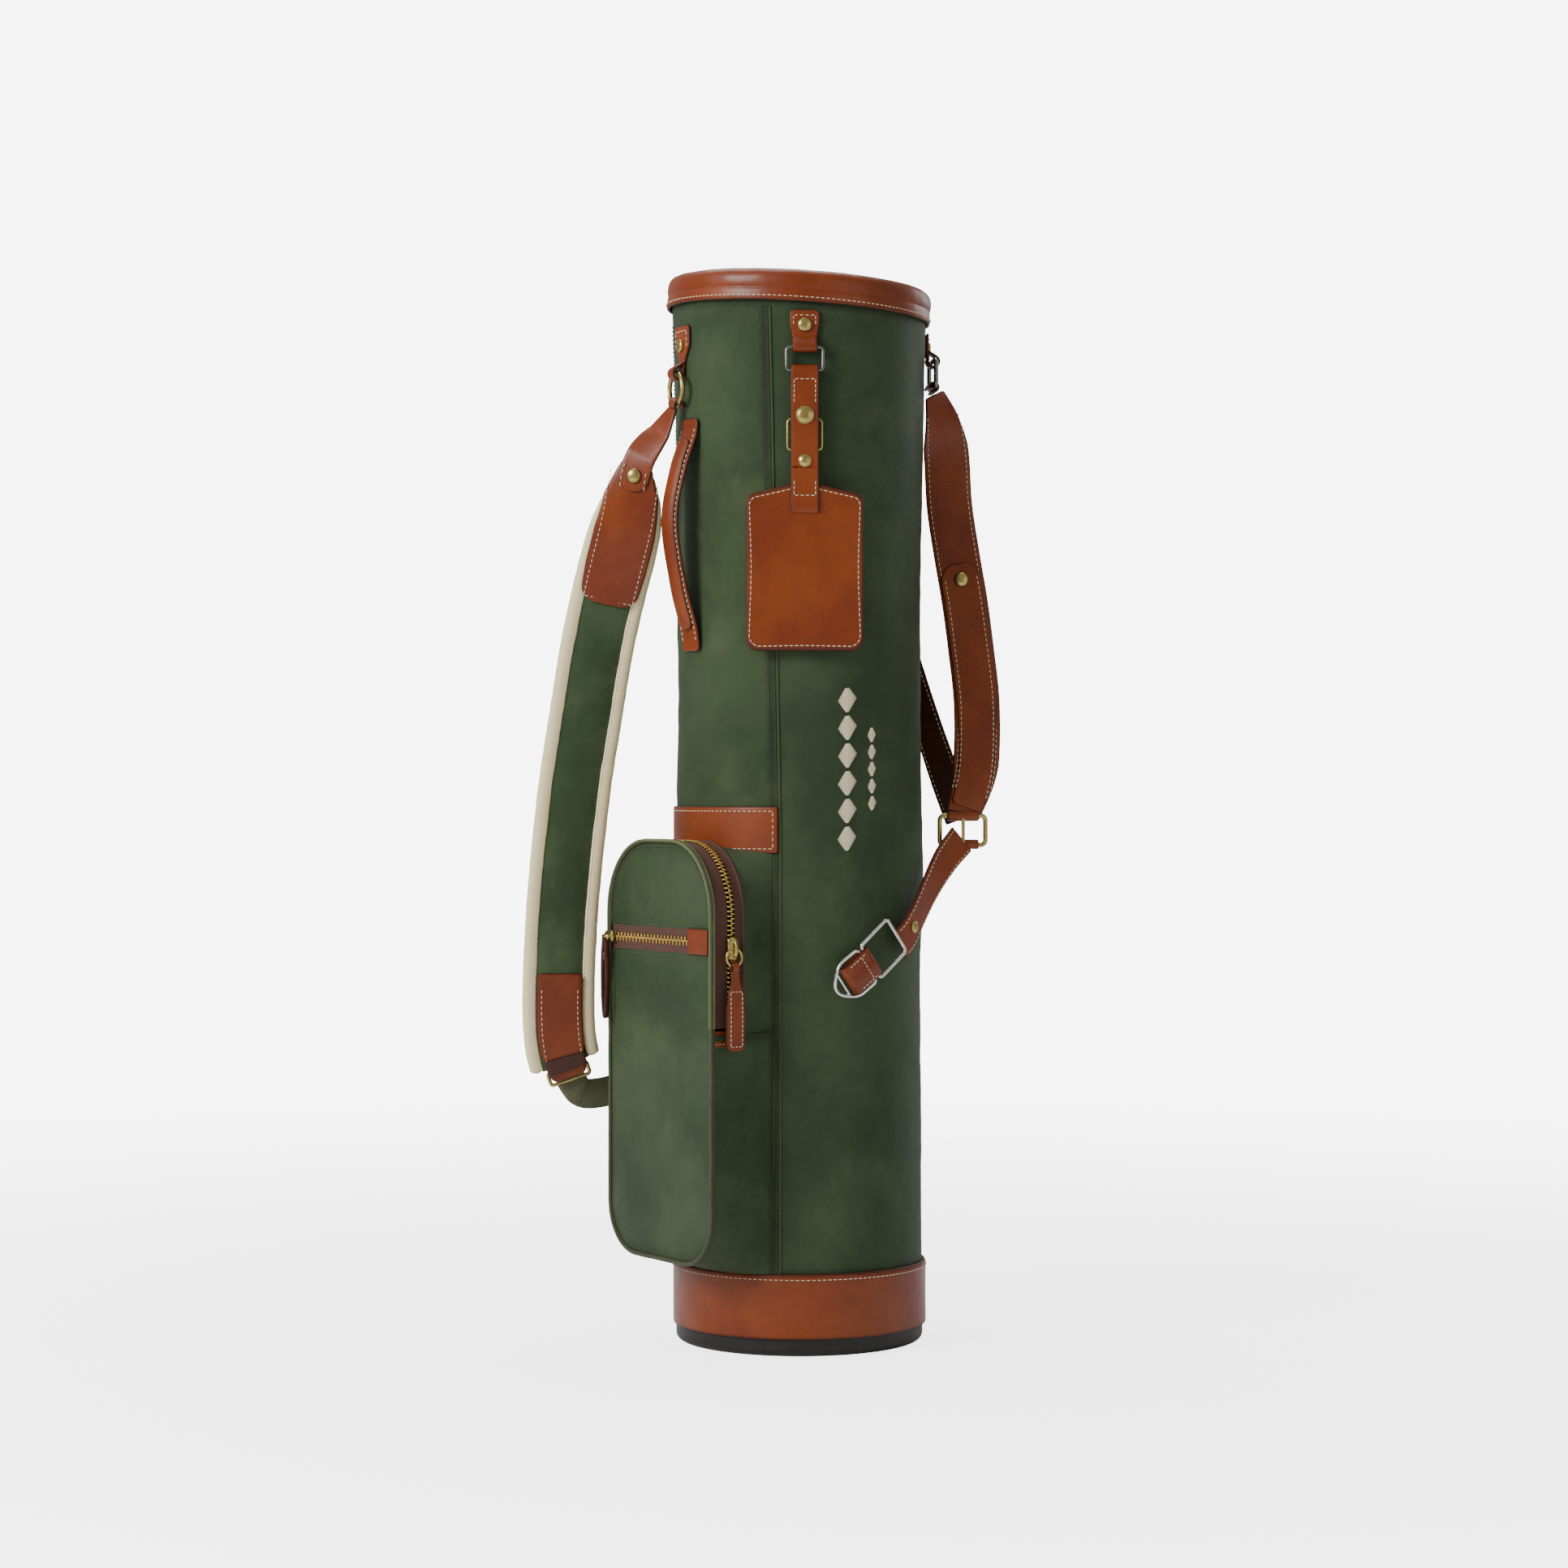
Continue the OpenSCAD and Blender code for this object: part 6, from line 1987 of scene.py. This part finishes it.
@dataclass
class SideSling:
    """The strap on the right side with its buckle, the back strap and the tail."""

    body: str = "side_sling"
    bar_reach: float = 12.0
    bar_angle: float = 147.0
    bar_below: float = 436.0
    bar_out: float = 34.0
    bar_facing: float = 64.0
    side_route: Route = Route((
        (153, 9.5, 76.5, 112), (155, 17, 98, 86), (158, 23, 128, 62), (158, 26, 168, 58), (157, 32, 208, 56),
        (155, 38, 247, 56), (154, 43, 287, 56), (152, 47, 334, 56), (150, 45, 387, 57), (147, 34, 424, 64),
    ))
    back_route: Route = Route(((152, 34, 428, 55), (158, 24, 395, 42), (166, 14, 352, 26), (176, 8, 305, 12),
                               (185, 6, 262, 5)))
    tail_route: Route = Route((
        (146, 34, 442, 70), (137, 22, 458, 92), (128, 13, 480, 112), (119, 8, 503, 119), (112, 7, 518, 112),
        (104, 7.5, 528, 104),
    ))

    def build(self) -> None:
        """Builds every piece of the sling."""
        path = self.side_route.path(0.02, 8.97, 150)
        widths = [27, 38, 38, 38, 38, 38, 38, 38, 28]
        strap = Maker().strip(path, widths, 3.4, crown=0.5, ripple=0.35)
        low, _ = box_mm("side_ring")
        start = BARREL.on_skin(153.0, low.z + 2.0, 7.4)
        face, up = radial(153.0), np.array([0.0, 0.0, 1.0])
        turn = np.radians(np.linspace(-120, 200, 24))
        curl = np.array([start + face * 3.5 * math.cos(t) + up * 3.5 * math.sin(t) for t in turn])
        side = np.tile(radial(243.0), (24, 1))
        run = unit(np.gradient(curl, axis=0))
        strap.strip(Path(curl, side, unit(np.cross(side, run))), 26, 2.4, pitch=1.2)
        self._turned(strap, self.bar_reach, -240.0, 60.0)
        strap.piece("side_strap_leather", Finish.TAN, self.body, "side_strap")
        rows = Stitching()
        trimmed = path.cut(14, -16)
        rows.both_edges(trimmed, 37, 3.0, 2.1, trim=2)
        ply = self.side_route.path(4.2, 8.75, 80).moved(0, 2.9)
        Maker().strip(ply, [34, 34, 34, 30, 26], 2.2, tips=(15, 3), ripple=0.2).piece(
            "side_strap_ply", Finish.TAN, self.body)
        rows.both_edges(ply, 32, 2.8, 1.25, trim=12)
        rivets = Maker()
        spot = self.side_route.path(4.5, 4.6, 4)
        rivet(rivets, spot.points[2] + spot.out[2] * 4.0, spot.out[2], 1.15)
        rivets.piece("side_strap_rivet", Finish.BRASS, self.body, "side_rivet")
        rows.piece("side_strap_stitches", self.body)
        self._back()
        self._tail()
        self._link()

    def _turned(self, maker: Maker, height: float, first: float, last: float, width: float = 26.0) -> None:
        """Adds a strap's end, turned round one of the buckle's bars.

        Args:
            maker: what collects it.
            height: the bar above the buckle's middle.
            first: angle where the turn starts.
            last: angle where it ends.
            width: width of the strap.
        """
        centre = BARREL.on_skin(self.bar_angle, BARREL.rim - self.bar_below + height, self.bar_out)
        face, up = radial(self.bar_facing), np.array([0.0, 0.0, 1.0])
        turn = np.radians(np.linspace(first, last, 26))
        curl = np.array([centre + 3.5 * (face * math.cos(a) + up * math.sin(a)) for a in turn])
        side = np.tile(radial(self.bar_facing + 90), (26, 1))
        out = unit(np.cross(side, unit(np.gradient(curl, axis=0))))
        maker.strip(Path(curl, side, out), width, 2.2, pitch=1.2)

    def _back(self) -> None:
        """The plain strap that runs behind the bag."""
        path = self.back_route.path(0.03, 3.96, 90)
        Maker().strip(path, 26, 2.4, ripple=0.4).piece(
            "back_strap_leather", Finish.DARK, self.body, "back_strap")
        Stitching().both_edges(path, 26, 2.6, 1.3).piece("back_strap_stitches", self.body)

    def _tail(self) -> None:
        """The tail under the buckle, riveted, with its end round the squared ring."""
        path = self.tail_route.path(0.12, 4.72, 90)
        strap = Maker().strip(path, 26, 3.2, ripple=0.3)
        self._turned(strap, -self.bar_reach, -60.0, 240.0)
        strap.piece("tail_strap_leather", Finish.TAN, "tail", "tail_strap")
        Stitching().both_edges(path, 26, 2.6, 1.7).piece("tail_strap_stitches", "tail")
        rivets = Maker()
        spot = self.tail_route.path(3.55, 3.65, 4)
        rivet(rivets, spot.points[2] + spot.out[2] * 1.7, spot.out[2], 0.95)
        rivets.piece("tail_strap_rivet", Finish.BRASS, "tail", "tail_rivet")

    def _link(self) -> None:
        """The stitched leather link and the shaped wire ring at the end of the tail."""
        ring = (Matrix.Rotation(radians(95), 4, "Z")
                @ Matrix.Translation((0, -BARREL.radius - 8, BARREL.rim - 529))
                @ Matrix.Rotation(radians(-38), 4, "Y"))
        link = ring @ Matrix.Translation((-17, 0, 0)) @ Matrix.Rotation(radians(-6), 4, "Z")
        end = link @ Matrix.Translation((-3.8, 0, 0)) @ Matrix.Rotation(radians(-6), 4, "Z")

        def put(place: Matrix, points: Sequence) -> Array:
            """Moves drawn points to their place."""
            return np.array([place @ Vector(point) for point in points])

        reach, bore = 22.0, 3.1
        arc_far = [(-reach - bore * math.sin(a), -bore * math.cos(a), 0) for a in np.linspace(0, math.pi, 12)]
        arc_near = [(bore * math.sin(a), bore * math.cos(a), 0) for a in np.linspace(0, math.pi, 12)]
        front = [(x, -bore, 0) for x in np.linspace(0, -reach, 16)[1:-1]]
        back = [(x, bore, 0) for x in np.linspace(-reach, 0, 16)[1:-1]]
        line = put(link, [*front, *arc_far, *back, *arc_near])
        side = np.tile(np.array(link.to_3x3() @ Vector((0, 0, 1))), (len(line), 1))
        run = unit(np.roll(line, -1, axis=0) - np.roll(line, 1, axis=0))
        out = unit(np.cross(side, run))
        if np.dot(out[3], radial(95.0)) < 0:
            out = -out
        edge = [(-1, 0), (-0.94, 1), (0, 1.15), (0.94, 1), (1, 0), (0.94, -1), (0, -1), (-0.94, -1)]
        points = np.array([[p + s * u * 13 + o * v * 1.2 for u, v in edge]
                           for p, s, o in zip(line, side, out)])
        worn = np.array([1, 0.5, 0, 0.5, 1, 0.5, 0, 0.5])[None]
        Maker().grid(points, ring=True, loop=True, edge=worn).piece(
            "tail_link_leather", Finish.TAN, "tail_loop", "tail_link")
        rows = Stitching(3.4, 2.6, 0.66)
        face = Path(line[:14], side[:14], out[:14])
        rows.both_edges(face, 26, 2.4, 1.35, trim=0.5)
        across = face.at(np.array([5.0]))
        points = across.points + across.across * np.linspace(-10.5, 10.5, 9)[:, None] + across.out * 1.35
        rows.line(Path(points, np.repeat(across.across, 9, 0), np.repeat(across.out, 9, 0)))
        rows.piece("tail_link_stitches", "tail_loop")
        corners = [(0, 13), (-1.5, 16.2), (-17, 16.4), (-22, 14.5), (-29, 8.5), (-32.5, 4), (-33.4, 0)]
        closed = np.array([*corners, *[(x, -z) for x, z in corners[-2::-1]], corners[0]])
        ring_line = spaced(closed, 97)[:-1]
        for _ in range(2):
            ring_line = (ring_line + np.roll(ring_line, 1, axis=0) + np.roll(ring_line, -1, axis=0)) / 3
        maker = Maker().tube(put(end, [(x, 0, z) for x, z in ring_line]), 1.5, closed=True)
        bar = [(-25.5, 0, z) for z in np.linspace(-11.5, 11.5, 14)]
        maker.tube(put(end, bar), 1.15)
        maker.piece("tail_end_ring", Finish.NICKEL, "tail_end_ring", "end_ring")


# ---- Metal and plastic that keep their frame shape ----

KEPT = {
    "base_foot": Finish.FOOT, "foot_screws": Finish.STEEL, "base_cup": Finish.FRAME, "club_pad": Finish.FOAM,
    "stiffening_tube": Finish.TUBE, "lining": Finish.LINING, "top_frame": Finish.FRAME,
    "main_zip_ring": Finish.BRASS, "strap_ring": Finish.BRASS, "tag_ring": Finish.GUNMETAL,
    "side_ring": Finish.GUNMETAL, "side_buckle": Finish.BRASS, "buckle_prong": Finish.BRASS, "tail_ring": Finish.NICKEL,
}


def dress_frame() -> None:
    """Gives every frame node that stays its material."""
    for name, finish in KEPT.items():
        obj = frame["nodes"][name]
        obj.data.materials.clear()
        obj.data.materials.append(finish.material())
        LOG.info("%s keeps its frame shape, in %s", name, finish.value.name)


# ---- Studio ----


@dataclass
class Studio:
    """Pale floor, soft light and the camera."""

    azimuth: float = 57.0
    distance: float = 2.8
    height: float = 0.454
    side_shift: float = -0.0126
    lens: float = 78.3
    backdrop: float = 7.0
    surround: float = 0.42
    lamps: tuple[tuple[str, float, float, float, float, float], ...] = (
        ("key", -1.7, 1.3, 1.5, 0.9, 56.0), ("fill", 1.6, 1.9, 0.9, 1.4, 6.0),
        ("top", -0.2, -0.5, 2.4, 1.6, 34.0), ("rim", 1.5, -1.6, 1.3, 0.8, 7.0),
    )
    floor_size: float = 30.0

    def build(self) -> None:
        """Builds the floor, lights, world and camera."""
        self._floor()
        self._lights()
        self._camera()

    def _facing(self) -> tuple[Vector, Vector]:
        """Directions from the bag to the viewer, and to the viewer's right."""
        view = radians(self.azimuth)
        return Vector((math.sin(view), -math.cos(view), 0)), Vector((math.cos(view), math.sin(view), 0))

    def _floor(self) -> None:
        """A plain pale floor."""
        bench = Bench("studio_floor")
        dust = bench.noise(3.0)
        tone = bench.mix(dust, (0.86, 0.86, 0.86), (0.90, 0.90, 0.90))
        away = bench.node("ShaderNodeVectorMath", {"operation": "LENGTH"}, {0: bench.place()}, "Value")
        glow = bench.mix(away.ramp(0.2, 3.0), (0.42, 0.42, 0.42), (1.0, 1.0, 1.0))
        seen = bench.mix(bench.node("ShaderNodeLightPath", {}, {}, "Is Camera Ray"), (0.0, 0.0, 0.0), glow)
        plain = {"Roughness": 0.9, "Specular IOR Level": 0.1, "Emission Strength": self.backdrop}
        material = bench.finish({"Base Color": tone, "Emission Color": seen}, plain)
        mesh = bpy.data.meshes.new("floor")
        size = self.floor_size
        corners = [(x * size, y * size, 0) for x, y in ((-1, -1), (1, -1), (1, 1), (-1, 1))]
        mesh.from_pydata(corners, [], [(0, 1, 2, 3)])
        floor = bpy.data.objects.new("floor", mesh)
        bpy.context.scene.collection.objects.link(floor)
        floor.data.materials.append(material)

    def _lights(self) -> None:
        """Large soft lights, and a surround that is white to the camera."""
        world = bpy.data.worlds.new("studio")
        world.use_nodes = True
        nodes, links = world.node_tree.nodes, world.node_tree.links
        seen, lit = nodes["Background"], nodes.new("ShaderNodeBackground")
        seen.inputs[1].default_value = self.backdrop
        lit.inputs[1].default_value = self.surround
        for shader in (seen, lit):
            shader.inputs[0].default_value = (1, 1, 1, 1)
        both, ray = nodes.new("ShaderNodeMixShader"), nodes.new("ShaderNodeLightPath")
        links.new(ray.outputs["Is Camera Ray"], both.inputs[0])
        links.new(lit.outputs[0], both.inputs[1])
        links.new(seen.outputs[0], both.inputs[2])
        links.new(both.outputs[0], nodes["World Output"].inputs["Surface"])
        bpy.context.scene.world = world
        ahead, right = self._facing()
        for name, side, near, up, size, power in self.lamps:
            lamp = bpy.data.lights.new(name, "AREA")
            lamp.size = size
            lamp.energy = power
            obj = bpy.data.objects.new(name, lamp)
            bpy.context.scene.collection.objects.link(obj)
            obj.location = right * side + ahead * near + Vector((0, 0, up))
            aim = Vector((0, 0, 0.45)) - obj.location
            obj.rotation_euler = aim.to_track_quat("-Z", "Y").to_euler()

    def _camera(self) -> None:
        """A level camera at the bag's front right."""
        ahead, right = self._facing()
        lens = bpy.data.cameras.new("camera")
        lens.lens = self.lens
        lens.sensor_width = 36.0
        camera = bpy.data.objects.new("camera", lens)
        bpy.context.scene.collection.objects.link(camera)
        camera.location = ahead * self.distance + right * self.side_shift + Vector((0, 0, self.height))
        camera.rotation_euler = (-ahead).to_track_quat("-Z", "Y").to_euler()
        bpy.context.scene.camera = camera


def main() -> None:
    """Builds the bag's looks, one assembly after another."""
    logging.basicConfig(level=logging.INFO, format="%(message)s")
    for assembly in (Shell(), Pocket(), ZipFurniture(), Ornament(), Leatherwork(), ShoulderStrap(), NameTag(),
                     SideSling()):
        LOG.info("building %s", type(assembly).__name__)
        assembly.build()
    dress_frame()
    Studio().build()


if __name__ == "__main__":
    main()
